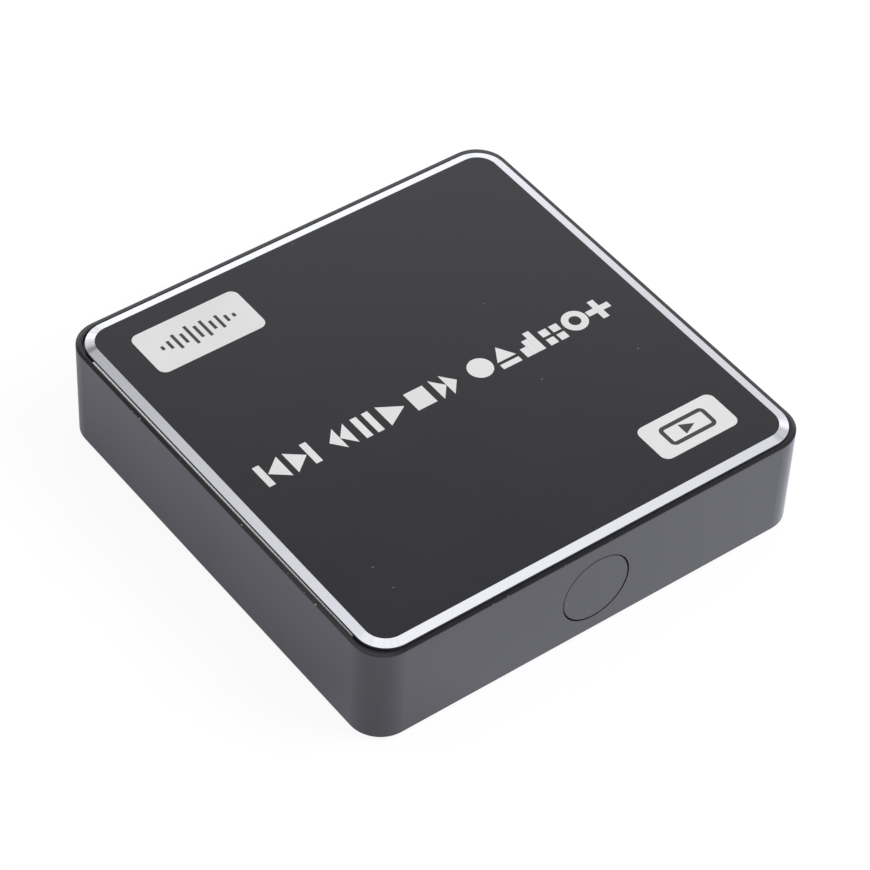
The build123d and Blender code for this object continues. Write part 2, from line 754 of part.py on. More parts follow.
# Power socket: a block with a round nose in the wall, a centre pin and a contact strip below the bore.
jack_front_inset = wall + insert_gap
dc_bore_end = port_recess + dc_bore_depth
with BuildPart() as dc_body:
    with BuildSketch(back_face(dc_x, dc_z, jack_front_inset)):
        Rectangle(dc_body_width, dc_body_height)
    extrude(amount=-dc_body_depth)
    with BuildSketch(back_face(dc_x, dc_z, jack_front_inset)):
        Circle(dc_nose_radius)
    extrude(amount=jack_front_inset - port_recess)
    with BuildSketch(back_face(dc_x, dc_z, port_recess)):
        Circle(dc_bore_radius)
    extrude(amount=-dc_bore_depth, mode=Mode.SUBTRACT)
    with BuildSketch(back_face(dc_x, dc_z, dc_bore_end)):
        Circle(dc_pin_root_radius + insert_gap)
    extrude(amount=-dc_pin_seat, mode=Mode.SUBTRACT)
    with BuildSketch(back_face(dc_x, dc_z - dc_bore_radius, jack_front_inset)):
        Rectangle(dc_spring_width + 2 * insert_gap, 2 * (dc_spring_thickness + insert_gap))
    extrude(amount=jack_front_inset - dc_bore_end, mode=Mode.SUBTRACT)
save(dc_body, "dc_jack_body")

with BuildPart() as dc_pin:
    with BuildSketch(back_face(dc_x, dc_z, dc_bore_end)):
        Circle(dc_pin_root_radius)
    extrude(amount=-dc_pin_seat)
    with BuildSketch(back_face(dc_x, dc_z, dc_bore_end)):
        Circle(dc_pin_radius)
    extrude(amount=dc_bore_depth - dc_pin_recess)
save(dc_pin, "dc_jack_pin")

with BuildPart() as dc_spring:
    with BuildSketch(back_face(dc_x, dc_z - dc_bore_radius - dc_spring_thickness / 2, jack_front_inset)):
        Rectangle(dc_spring_width, dc_spring_thickness)
    extrude(amount=jack_front_inset - dc_bore_end + insert_gap)
save(dc_spring, "dc_jack_contact")

# Sound socket: a block with a round nose and a straight bore, and its solder contacts along both sides.
with BuildPart() as av_body:
    with BuildSketch(back_face(av_x, av_z, jack_front_inset)):
        Rectangle(av_body_width, av_body_height)
    extrude(amount=-av_body_depth)
    with BuildSketch(back_face(av_x, av_z, jack_front_inset)):
        Circle(av_nose_radius)
    extrude(amount=jack_front_inset - port_recess)
    with BuildSketch(back_face(av_x, av_z, port_recess)):
        Circle(av_bore_radius)
    extrude(amount=-av_bore_depth, mode=Mode.SUBTRACT)
save(av_body, "av_jack_body")

with BuildPart() as av_contacts:
    av_contact_y = half_depth - jack_front_inset - av_body_depth / 2
    av_contact_spacing = av_body_depth / (av_contact_count + 1)
    with BuildSketch(Plane.XY.offset(board_top_z)):
        with Locations((av_x, av_contact_y)):
            with GridLocations(av_body_width + av_contact_length, av_contact_spacing, 2, av_contact_count):
                Rectangle(av_contact_length, av_contact_width)
    extrude(amount=av_contact_thickness)
save(av_contacts, "av_jack_contacts")

# Two flat data sockets, one in the right wall and one in the back wall: shell, tongue and four contacts each.
data_inside = data_depth - data_block_depth
data_tongue_z = data_z + data_tongue_rise
data_contact_z = data_tongue_z - (data_tongue_thickness + data_contact_thickness) / 2
data_contact_places = (
    -data_inner_spacing / 2 - data_outer_spacing,
    -data_inner_spacing / 2,
    data_inner_spacing / 2,
    data_inner_spacing / 2 + data_outer_spacing,
)
for data_number, data_face, data_place in ((1, right_face, side_data_y), (2, back_face, back_data_x)):
    with BuildPart() as data_shell:
        with BuildSketch(data_face(data_place, data_z, port_recess)) as data_outline:
            Rectangle(data_shell_width, data_shell_height)
            chamfer(data_outline.vertices(), data_corner + data_sheet / 2)
        extrude(amount=-data_depth)
        with BuildSketch(data_face(data_place, data_z, port_recess)) as data_opening:
            Rectangle(data_opening_width, data_opening_height)
            chamfer(data_opening.vertices(), data_corner)
        extrude(amount=-data_depth, mode=Mode.SUBTRACT)
    save(data_shell, f"data_socket_shell_{data_number}")

    with BuildPart() as data_tongue:
        with BuildSketch(data_face(data_place, data_z, port_recess + data_inside)) as data_block:
            Rectangle(data_opening_width - 2 * insert_gap, data_opening_height - 2 * insert_gap)
            chamfer(data_block.vertices(), data_corner)
        extrude(amount=-data_block_depth)
        with BuildSketch(data_face(data_place, data_tongue_z, port_recess + data_inside)):
            Rectangle(data_tongue_width, data_tongue_thickness)
        extrude(amount=data_inside - data_tongue_recess)
    save(data_tongue, f"data_socket_tongue_{data_number}")

    with BuildPart() as data_contacts:
        with BuildSketch(data_face(data_place, data_contact_z, port_recess + data_inside)):
            with Locations(*[(place, 0) for place in data_contact_places]):
                Rectangle(data_contact_width, data_contact_thickness)
        extrude(amount=data_inside - data_tongue_recess - data_contact_tip)
    save(data_contacts, f"data_socket_contacts_{data_number}")

# Card socket, a push-in push-out type. Its frame has a rail, a channel for the slide and a back wall.
card_mid_x = card_mouth_x - card_socket_depth / 2
card_rail_y = card_start_y + card_rail / 2
card_outer_y = card_start_y + card_socket_width - card_outer_rail / 2
slide_y = card_start_y + card_rail + card_channel_width + slide_channel_width / 2
slide_back_x = card_back_x + card_back_wall + slide_back_gap
slide_front_x = slide_back_x + slide_length
slide_z = card_floor_z + slide_gap
slide_slot_start_x = slide_back_x + slide_slot_end
slide_slot_length = slide_length - 2 * slide_slot_end
stop_post_x = slide_slot_start_x + insert_gap + stop_post_length / 2
latch_leg_x = slide_front_x + latch_leg_gap
latch_tip_x = slide_front_x - slide_slot_end - latch_groove_width / 2 - slide_travel
with BuildPart() as card_frame:
    with BuildSketch(Plane.XY.offset(board_top_z)):
        with Locations((card_mid_x, card_socket_y)):
            Rectangle(card_socket_depth, card_socket_width)
    extrude(amount=card_floor)
    with BuildSketch(Plane.XY.offset(card_floor_z)):
        with Locations((card_mid_x, card_rail_y)):
            Rectangle(card_socket_depth, card_rail)
        with Locations((card_mid_x, card_outer_y)):
            Rectangle(card_socket_depth, card_outer_rail)
        with Locations((card_back_x + card_back_wall / 2, card_socket_y)):
            Rectangle(card_back_wall, card_socket_width)
    extrude(amount=card_channel_height)
    with BuildSketch(Plane.XY.offset(card_floor_z)):
        with Locations((stop_post_x, slide_y)):
            Rectangle(stop_post_length, stop_post_width)
    extrude(amount=slide_slot_height)
    with BuildSketch(Plane.XY.offset(board_top_z)):
        with Locations((latch_leg_x, slide_y)):
            Circle(latch_wire_radius + insert_gap)
    extrude(amount=card_floor, mode=Mode.SUBTRACT)
save(card_frame, "card_frame")

# Steel cover over the frame, with skirts down to the board and two windows.
with BuildPart() as card_cover:
    with BuildSketch(Plane.XY.offset(card_cover_z)):
        with Locations((card_mid_x, card_socket_y)):
            Rectangle(card_socket_depth, card_socket_width + 2 * card_sheet)
        with Locations((card_mid_x, card_centre_y)):
            with GridLocations(0, card_width / 2, 1, 2):
                Rectangle(card_window_length, card_window_width, mode=Mode.SUBTRACT)
    extrude(amount=card_sheet)
    with BuildSketch(Plane.XY.offset(board_top_z)):
        with Locations((card_mid_x, card_socket_y)):
            with GridLocations(0, card_socket_width + card_sheet, 1, 2):
                Rectangle(card_socket_depth, card_sheet)
    extrude(amount=card_cover_z - board_top_z)
save(card_cover, "card_cover")

with BuildPart() as card_contacts:
    card_contact_x = card_back_x + card_back_wall + card_contact_back + card_contact_length / 2
    with BuildSketch(Plane.XY.offset(card_floor_z)):
        with Locations((card_contact_x, card_centre_y)):
            with GridLocations(0, card_contact_spacing, 1, card_contact_count):
                Rectangle(card_contact_length, card_contact_width)
    extrude(amount=card_contact_thickness)
save(card_contacts, "card_contacts")

# Slide: a trough over the spring with an arm that the card's leading edge pushes.
with BuildPart() as card_slide:
    with BuildSketch(Plane.XY.offset(slide_z)):
        with Locations(((slide_back_x + slide_front_x) / 2, slide_y)):
            Rectangle(slide_length, slide_width)
        arm_y = slide_y - (slide_width + slide_arm_reach) / 2 - slide_gap
        with Locations((slide_back_x + slide_arm_thickness / 2, arm_y + slide_gap / 2)):
            Rectangle(slide_arm_thickness, slide_arm_reach + slide_gap)
    extrude(amount=slide_height)
    with BuildSketch(Plane.XY.offset(slide_z)):
        with Locations((slide_slot_start_x + slide_slot_length / 2, slide_y)):
            Rectangle(slide_slot_length, slide_slot_width)
    extrude(amount=slide_slot_height, mode=Mode.SUBTRACT)
    with BuildSketch(Plane.XY.offset(slide_z + slide_height)):
        with Locations((latch_tip_x + slide_travel / 2, slide_y)):
            Rectangle(slide_travel + latch_groove_width, latch_groove_width)
    extrude(amount=-latch_groove_depth, mode=Mode.SUBTRACT)
save(card_slide, "card_slide")

# Return spring of square wire, coiled between the frame's post and the slide's outer end.
with BuildPart() as card_spring:
    spring_start_x = stop_post_x + stop_post_length / 2 + insert_gap + spring_wire / 2
    spring_end_x = slide_slot_start_x + slide_slot_length - insert_gap - spring_wire / 2
    spring_z = slide_z + slide_slot_height / 2
    spring_length = spring_end_x - spring_start_x
    spring_count = spring_turns * spring_sides
    spring_points = [
        (
            spring_start_x + spring_length * n / spring_count,
            slide_y + spring_coil_radius * cos(tau * n / spring_sides),
            spring_z + spring_coil_radius * sin(tau * n / spring_sides),
        )
        for n in range(spring_count + 1)
    ]
    with BuildLine() as spring_path:
        Polyline(*spring_points)
    with BuildSketch(Plane(origin=spring_path.line @ 0, z_dir=spring_path.line % 0)):
        Rectangle(spring_wire, spring_wire)
    sweep(transition=Transition.RIGHT)
save(card_spring, "card_spring")

# Latch wire: anchored in the frame ahead of the slide, with its tip in the slide's groove.
with BuildPart() as latch_wire:
    latch_run_z = slide_z + slide_height + latch_wire_radius + insert_gap
    latch_tip_z = slide_z + slide_height - latch_groove_depth + insert_gap
    with BuildLine() as latch_path:
        Polyline(
            (latch_leg_x, slide_y, board_top_z),
            (latch_leg_x, slide_y, latch_run_z),
            (latch_tip_x, slide_y, latch_run_z),
            (latch_tip_x, slide_y, latch_tip_z),
        )
    with BuildSketch(Plane(origin=latch_path.line @ 0, z_dir=latch_path.line % 0)):
        RegularPolygon(latch_wire_radius, latch_wire_sides)
    sweep(transition=Transition.RIGHT)
save(latch_wire, "latch_wire")
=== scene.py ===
import math

import bmesh
import bpy
from bpy.props import FloatProperty, FloatVectorProperty, PointerProperty
from mathutils import Matrix, Vector


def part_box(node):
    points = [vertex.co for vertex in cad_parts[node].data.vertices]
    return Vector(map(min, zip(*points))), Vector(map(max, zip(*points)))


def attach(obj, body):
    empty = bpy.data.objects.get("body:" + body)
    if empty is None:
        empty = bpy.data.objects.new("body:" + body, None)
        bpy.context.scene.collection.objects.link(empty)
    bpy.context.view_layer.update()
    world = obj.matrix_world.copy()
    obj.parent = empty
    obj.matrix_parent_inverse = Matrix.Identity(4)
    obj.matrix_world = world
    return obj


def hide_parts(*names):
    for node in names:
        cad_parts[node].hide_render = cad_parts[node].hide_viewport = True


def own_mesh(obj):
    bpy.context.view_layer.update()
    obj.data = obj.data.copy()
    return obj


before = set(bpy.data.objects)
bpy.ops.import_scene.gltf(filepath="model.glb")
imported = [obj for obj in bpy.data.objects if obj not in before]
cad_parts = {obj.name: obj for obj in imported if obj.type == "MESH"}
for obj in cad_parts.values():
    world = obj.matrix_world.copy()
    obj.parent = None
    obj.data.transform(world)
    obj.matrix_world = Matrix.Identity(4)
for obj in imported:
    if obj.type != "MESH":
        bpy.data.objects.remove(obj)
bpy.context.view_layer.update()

bl_info = {
    "name": "Square media player",
    "version": (1, 0, 0),
    "blender": (4, 5, 0),
    "location": "View3D > Sidebar > Player",
    "description": "Dresses the packed media player: housing, bevelled plate, prints, key, sockets and stage",
    "category": "Object",
}

MM = 0.001
WHITE = (1.0, 1.0, 1.0, 1.0)
SAME_LEVEL = 1e-7  # points nearer than this, in metres, lie at one level
MERGE_REACH = 0.0005 * MM  # points nearer than this become one
NOISE_SPAN = (0.3, 0.7)  # most of a noise lies between these

plate_low, plate_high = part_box("top_plate")
_, housing_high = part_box("upper_housing")
spring_low, spring_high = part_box("card_spring")
screws_low, screws_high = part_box("cover_screws")


# Sizes and colours that a user would change


class PlayerSizes(bpy.types.PropertyGroup):
    """Sizes of the plate, the prints on it and the small fasteners."""

    corner_radius: FloatProperty(
        name="Plate corner", description="Corner radius of the plate", default=5.5 * MM, unit="LENGTH"
    )
    bevel_width: FloatProperty(
        name="Bevel width", description="Width of the bevel from above", default=1.65 * MM, unit="LENGTH"
    )
    bevel_drop: FloatProperty(
        name="Bevel drop", description="Height of the bright bevel", default=0.45 * MM, unit="LENGTH"
    )
    print_height: FloatProperty(
        name="Print height", description="Thickness of one layer of ink", default=0.015 * MM, unit="LENGTH"
    )
    symbol_height: FloatProperty(
        name="Symbol height", description="Height of the printed row", default=5.1 * MM, unit="LENGTH"
    )
    symbol_stroke: FloatProperty(
        name="Symbol stroke", description="Width of a bar in the printed row", default=1.3 * MM, unit="LENGTH"
    )
    foot_edge: FloatProperty(
        name="Foot edge", description="Rounding of a foot's lower edge", default=0.4 * MM, unit="LENGTH"
    )
    screw_recess: FloatProperty(
        name="Screw recess", description="Length of a screw's cross recess", default=2.5 * MM, unit="LENGTH"
    )


class PlayerColours(bpy.types.PropertyGroup):
    """Colours of the finishes that show most."""

    housing: FloatVectorProperty(
        name="Housing", description="Satin plastic", default=(0.032, 0.032, 0.038), size=3, subtype="COLOR"
    )
    plate: FloatVectorProperty(
        name="Plate", description="Anodised face", default=(0.0115, 0.0118, 0.0152), size=3, subtype="COLOR"
    )
    bright_cut: FloatVectorProperty(
        name="Bevel", description="Bright cut aluminium", default=(0.93, 0.94, 0.96), size=3, subtype="COLOR"
    )
    light_ink: FloatVectorProperty(
        name="Light ink", description="Silver grey print", default=(0.8, 0.8, 0.795), size=3, subtype="COLOR"
    )
    dark_ink: FloatVectorProperty(
        name="Dark ink", description="Badge symbols", default=(0.045, 0.045, 0.046), size=3, subtype="COLOR"
    )


class PlayerStage(bpy.types.PropertyGroup):
    """Camera, floor and light."""

    azimuth: FloatProperty(
        name="Azimuth", description="Where the camera stands around the player", default=math.radians(-38.93),
        subtype="ANGLE",
    )
    elevation: FloatProperty(
        name="Elevation", description="Camera's angle downwards", default=math.radians(45.47), subtype="ANGLE"
    )
    roll: FloatProperty(
        name="Roll", description="Tilt of the picture", default=math.radians(3.04), subtype="ANGLE"
    )
    distance: FloatProperty(
        name="Distance", description="Camera to the middle of the player", default=606.19 * MM, unit="LENGTH"
    )
    slide_right: FloatProperty(
        name="Slide right", description="Camera moved across the picture", default=0.977 * MM, unit="LENGTH"
    )
    slide_up: FloatProperty(
        name="Slide up", description="Camera moved up the picture", default=5.148 * MM, unit="LENGTH"
    )
    plate_level: FloatProperty(
        name="Plate level", description="Plate's face over the camera's aim", default=20.3 * MM, unit="LENGTH"
    )
    lens: FloatProperty(
        name="Lens", description="Focal length on a 36 mm sensor, in millimetres", default=145.81, min=1.0
    )
    sky: FloatProperty(
        name="Sky light", description="Strength of the soft light from all round", default=0.62, min=0.0
    )
    key_power: FloatProperty(
        name="Key light", description="Power of the large soft lamp", default=4.6, min=0.0, unit="POWER"
    )


# Shader helpers


def put(tree, kind, inputs=None, **options):
    """Adds a shader node, sets its options, and fills or links its inputs."""
    node = tree.nodes.new("ShaderNode" + kind)
    for name, value in options.items():
        setattr(node, name, value)
    for name, value in (inputs or {}).items():
        if isinstance(value, bpy.types.NodeSocket):
            tree.links.new(value, node.inputs[name])
        else:
            node.inputs[name].default_value = value
    return node


def calc(tree, operation, first, second=0.0):
    """One sum in a shader tree; returns its result."""
    return put(tree, "Math", {0: first, 1: second}, operation=operation).outputs[0]


def spread(tree, value, low, high, from_low=0.0, from_high=1.0):
    """Maps a mask onto a range; returns the result."""
    ranges = {"Value": value, "From Min": from_low, "From Max": from_high, "To Min": low, "To Max": high}
    return put(tree, "MapRange", ranges).outputs["Result"]


def tint(tree, mask, first, second):
    """Goes from one colour to another by a mask; returns the colour."""
    mix = put(tree, "Mix", {"Factor": mask}, data_type="RGBA")
    for socket, colour in ((mix.inputs[6], first), (mix.inputs[7], second)):
        if isinstance(colour, bpy.types.NodeSocket):
            tree.links.new(colour, socket)
        else:
            socket.default_value = (*colour[:3], 1.0)
    return mix.outputs[2]


def fade(tree, mask, first, second):
    """Goes from one value to another by a mask; returns the value."""
    return put(tree, "Mix", {"Factor": mask, "A": first, "B": second}).outputs["Result"]


def noise(tree, place, scale, detail, roughness=0.5):
    """Soft noise over a place; returns its value."""
    inputs = {"Vector": place, "Scale": scale, "Detail": detail, "Roughness": roughness}
    return put(tree, "TexNoise", inputs).outputs[0]


def ripple(tree, measure, scale):
    """Soft noise along one measure; returns its value."""
    inputs = {"W": measure, "Scale": scale, "Detail": 1.0}
    return put(tree, "TexNoise", inputs, noise_dimensions="1D").outputs[0]


def axes(tree, place):
    """Splits a place along the axes; returns the outputs by name."""
    return put(tree, "SeparateXYZ", {"Vector": place}).outputs


def blend(tree, share, first, second):
    """Mixes two shaders; returns the result."""
    return put(tree, "MixShader", {0: share, 1: first, 2: second}).outputs[0]


def glow_node(tree, colour, strength):
    """A plain glow; returns its shader."""
    return put(tree, "Emission", {"Color": colour, "Strength": strength}).outputs[0]


def feed(tree, node, **sockets):
    """Links values to a node's sockets."""
    for socket, value in sockets.items():
        tree.links.new(value, node.inputs[socket.replace("_", " ")])


def new_group(name, vectors, values, results):
    """Starts a shader node group; returns its tree, what it is given and its output node."""
    tree = bpy.data.node_groups.new(name, "ShaderNodeTree")
    for socket in vectors:
        tree.interface.new_socket(name=socket, in_out="INPUT", socket_type="NodeSocketVector")
    for way, names in (("INPUT", values), ("OUTPUT", results)):
        for socket in names:
            tree.interface.new_socket(name=socket, in_out=way, socket_type="NodeSocketFloat")
    return tree, tree.nodes.new("NodeGroupInput").outputs, tree.nodes.new("NodeGroupOutput")


def grain_group():
    """Fine moulded or blasted grain: a height for bump and a slow mask for gloss."""
    tree, given, result = new_group("surface_grain", ["Vector"], ["Grain", "Smear"], ["Height", "Gloss"])
    fine = noise(tree, given["Vector"], given["Grain"], detail=2.0, roughness=0.55)
    slow = noise(tree, given["Vector"], given["Smear"], detail=4.0, roughness=0.6)
    feed(tree, result, Height=fine, Gloss=slow)
    return tree


def dust_group():
    """Sparse specks of dust: a mask."""
    core, edge = 0.02, 0.06  # where a speck begins to fade and where it ends, in cells
    least = 0.1412  # cells under this tone stay clean
    tree, given, result = new_group("dust_specks", ["Vector"], ["Spacing", "Share"], ["Specks"])
    cells = put(tree, "TexVoronoi", {"Vector": given["Vector"], "Scale": given["Spacing"]}).outputs
    lucky = put(tree, "SeparateColor", {"Color": cells["Color"]}).outputs
    near = spread(tree, cells["Distance"], 1.0, 0.0, core, edge)
    near = calc(tree, "MULTIPLY", near, calc(tree, "GREATER_THAN", lucky["Green"], least))
    kept = calc(tree, "LESS_THAN", lucky["Red"], given["Share"])
    feed(tree, result, Specks=calc(tree, "MULTIPLY", near, kept))
    return tree


def cut_group():
    """Fine lines left by a cutter or by rolling: a height and a tone along one direction."""
    tree, given, result = new_group("cut_lines", ["Vector", "Stretch"], ["Lines"], ["Height", "Tone"])
    turned = put(tree, "VectorMath", {0: given["Vector"], 1: given["Stretch"]}, operation="MULTIPLY")
    lines = noise(tree, turned.outputs[0], given["Lines"], detail=3.0, roughness=0.65)
    feed(tree, result, Height=lines, Tone=spread(tree, lines, 0.0, 1.0, *NOISE_SPAN))
    return tree


def effect(tree, name, builder, inputs):
    """Places a shared effect in a material, building its group the first time."""
    group = bpy.data.node_groups.get(name) or builder()
    return put(tree, "Group", inputs, node_tree=group)


def start_material(name, **sockets):
    """Starts a material and sets plain values on its shader; returns it, its tree, shader and place."""
    material = bpy.data.materials.new(name)
    material.use_nodes = True
    tree = material.node_tree
    shader = tree.nodes["Principled BSDF"]
    for socket, value in sockets.items():
        shader.inputs[socket.replace("_", " ")].default_value = value
    place = put(tree, "TexCoord").outputs["Object"]
    return material, tree, shader, place


def add_bump(tree, shader, height, strength, depth):
    """Feeds a height to the shader's normal."""
    bump = put(tree, "Bump", {"Height": height, "Strength": strength, "Distance": depth})
    feed(tree, shader, Normal=bump.outputs["Normal"])


def moulded(name, colour, gloss, grain=5200.0, relief=0.12, dust=0.0, drift=0.12, **sockets):
    """Moulded plastic or rubber: colour drift, uneven gloss, fine grain and a little dust."""
    smear, smear_span, grain_depth = 60.0, (0.35, 0.65), 0.02 * MM
    dust_spacing, dust_cover, dust_colour = 330.0, 0.6, (0.4, 0.4, 0.4)
    material, tree, shader, place = start_material(name, **sockets)
    surface = effect(tree, "surface_grain", grain_group, {"Vector": place, "Grain": grain, "Smear": smear})
    deep = [c * (1.0 - drift) for c in colour]
    pale = [c * (1.0 + drift) for c in colour]
    base = tint(tree, spread(tree, surface.outputs["Gloss"], 0.0, 1.0, *smear_span), deep, pale)
    if dust:
        inputs = {"Vector": place, "Spacing": dust_spacing, "Share": dust}
        specks = effect(tree, "dust_specks", dust_group, inputs).outputs["Specks"]
        base = tint(tree, calc(tree, "MULTIPLY", specks, dust_cover), base, dust_colour)
    rough = spread(tree, surface.outputs["Gloss"], *gloss, *NOISE_SPAN)
    feed(tree, shader, Base_Color=base, Roughness=rough)
    add_bump(tree, shader, surface.outputs["Height"], relief, grain_depth)
    return material


def rolled(name, colour, gloss, stretch=(1.0, 1.0, 14.0), lines=2600.0, relief=0.1, **sockets):
    """Bare or plated metal: fine lines along one direction and uneven gloss."""
    line_depth, deep_share = 0.01 * MM, 0.86
    material, tree, shader, place = start_material(name, Metallic=1.0, **sockets)
    cut = effect(tree, "cut_lines", cut_group, {"Vector": place, "Lines": lines, "Stretch": stretch})
    deep = [c * deep_share for c in colour]
    tone = cut.outputs["Tone"]
    feed(tree, shader, Base_Color=tint(tree, tone, deep, colour), Roughness=spread(tree, tone, *gloss))
    add_bump(tree, shader, cut.outputs["Height"], relief, line_depth)
    return material


def coat_node(material, *nodes):
    """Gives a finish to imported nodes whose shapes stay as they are."""
    for name in nodes:
        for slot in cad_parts[name].material_slots:
            slot.material = material


# Mesh helpers


def new_piece(name, mesh_maker, materials, body, sharp=math.radians(25)):
    """Makes a piece from a bmesh, smooth but for its sharp edges, riding on a body."""
    bm = bmesh.new()
    mesh_maker(bm)
    bmesh.ops.remove_doubles(bm, verts=bm.verts, dist=MERGE_REACH)
    bmesh.ops.recalc_face_normals(bm, faces=bm.faces)
    for face in bm.faces:
        face.smooth = True
    for edge in bm.edges:
        edge.smooth = edge.calc_face_angle(math.pi) < sharp
    mesh = bpy.data.meshes.new(name)
    bm.to_mesh(mesh)
    bm.free()
    for material in materials:
        mesh.materials.append(material)
    piece = bpy.data.objects.new(name, mesh)
    bpy.context.scene.collection.objects.link(piece)
    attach(piece, body)
    return piece


def flat_panel(bm, centre, width, depth, height, corner=0.0, segments=12):
    """Adds a level rectangle with rounded corners; returns its face."""
    known = set(bm.faces)
    place = Matrix.Translation((*centre, height)) @ Matrix.Diagonal((width / 2, depth / 2, 1.0, 1.0))
    made = bmesh.ops.create_grid(bm, x_segments=1, y_segments=1, size=1.0, matrix=place)
    if corner:
        bmesh.ops.bevel(
            bm, geom=made["verts"], offset=corner, offset_type="OFFSET", affect="VERTICES",
            segments=segments, profile=0.5, material=-1,
        )
    return next(face for face in bm.faces if face not in known)


def inset(bm, faces, border, depth=0.0):
    """Insets faces; returns the faces of the border."""
    return bmesh.ops.inset_region(
        bm, faces=faces, thickness=border, depth=depth, use_boundary=True, use_even_offset=True
    )["faces"]


def raise_faces(bm, faces, height):
    """Extrudes faces straight up; returns the new top faces."""
    made = bmesh.ops.extrude_face_region(bm, geom=faces)["geom"]
    points = [item for item in made if isinstance(item, bmesh.types.BMVert)]
    bmesh.ops.translate(bm, verts=points, vec=(0.0, 0.0, height))
    return [item for item in made if isinstance(item, bmesh.types.BMFace)]


# Printed shapes, each drawn in a cell of the printed row


def bar(bm, x, y, width, height, level):
    """A bar, from its lower left corner."""
    flat_panel(bm, (x + width / 2, y + height / 2), width, height, level)


def arrow(bm, x, y, width, height, level, turn=0.0):
    """A triangle that fills a cell and points right, or another way by its turn."""
    size = (width, height) if abs(math.cos(turn)) > 0.5 else (height, width)
    # With a radius of 1 it is 1.5 long and the root of 3 wide, and its middle lies 0.25 off
    place = (
        Matrix.Translation((x + width / 2, y + height / 2, level))
        @ Matrix.Rotation(turn, 4, "Z")
        @ Matrix.Diagonal((size[0] / 1.5, size[1] / math.sqrt(3.0), 1.0, 1.0))
        @ Matrix.Translation((-0.25, 0.0, 0.0))
        @ Matrix.Rotation(-math.tau / 4, 4, "Z")
    )
    bmesh.ops.create_circle(bm, cap_ends=True, segments=3, radius=1.0, matrix=place)


def hollow(bm, face, stroke):
    """Keeps a border of a face and takes out its middle."""
    inset(bm, [face], stroke)
    bmesh.ops.delete(bm, geom=[face], context="FACES")


def disc(bm, x, y, size, level, stroke=0.0):
    """A round spot in a cell, or a ring with a stroke."""
    place = Matrix.Translation((x + size / 2, y + size / 2, level))
    made = bmesh.ops.create_circle(bm, cap_ends=True, segments=48, radius=size / 2, matrix=place)
    if stroke:
        hollow(bm, made["verts"][0].link_faces[0], stroke)


def symbol(bm, kind, x, y, width, height, stroke, level):
    """Draws one common player symbol in a cell, in shares of the cell and of the stroke."""
    back = math.pi
    post = stroke * 1.15  # a bar and the gap beside it
    if kind == "skip_back":
        bar(bm, x, y, stroke, height, level)
        arrow(bm, x + post, y, width - post, height, level, back)
    elif kind == "skip_on":
        bar(bm, x + width - stroke, y, stroke, height, level)
        arrow(bm, x, y, width - post, height, level)
    elif kind == "rewind":
        arrow(bm, x, y, width / 2, height, level, back)
        arrow(bm, x + width / 2, y, width / 2, height, level, back)
    elif kind == "forward":
        arrow(bm, x, y, width / 2, height, level)
        arrow(bm, x + width / 2, y, width / 2, height, level)
    elif kind == "play":
        arrow(bm, x, y, width, height, level)
    elif kind == "pause":
        bar(bm, x + width * 0.08, y, stroke, height, level)
        bar(bm, x + width * 0.92 - stroke, y, stroke, height, level)
    elif kind == "stop":
        bar(bm, x + width * 0.05, y + height * 0.06, width * 0.9, height * 0.88, level)
    elif kind == "record":
        disc(bm, x + (width - height * 0.92) / 2, y + height * 0.04, height * 0.92, level)
    elif kind == "ring":
        disc(bm, x + (width - height * 0.95) / 2, y + height * 0.025, height * 0.95, level, stroke)
    elif kind == "eject":
        bar(bm, x, y, width, stroke * 0.9, level)
        arrow(bm, x, y + stroke * 1.4, width, height - stroke * 1.4, level, math.tau / 4)
    elif kind == "levels":
        for step, share in enumerate((0.45, 0.72, 1.0)):
            bar(bm, x + step * (width - stroke) / 2, y, stroke, height * share, level)
    elif kind == "plus":
        arm = (height * 0.94 - stroke) / 2
        bar(bm, x + (width - stroke) / 2, y + height / 2 + stroke / 2, stroke, arm, level)
        bar(bm, x + (width - stroke) / 2, y + height / 2 - stroke / 2 - arm, stroke, arm, level)
        bar(bm, x + width / 2 - stroke / 2 - arm, y + (height - stroke) / 2, 2 * arm + stroke, stroke, level)
    elif kind == "index":
        gap = stroke * 0.5
        cell = (min(width, height) - gap) / 2
        for column in range(2):
            for row in range(2):
                bar(bm, x + column * (cell + gap), y + row * (cell + gap), cell, cell, level)
    else:
        raise ValueError(f"no such symbol: {kind}")


# Operators, one for each piece or group of like pieces


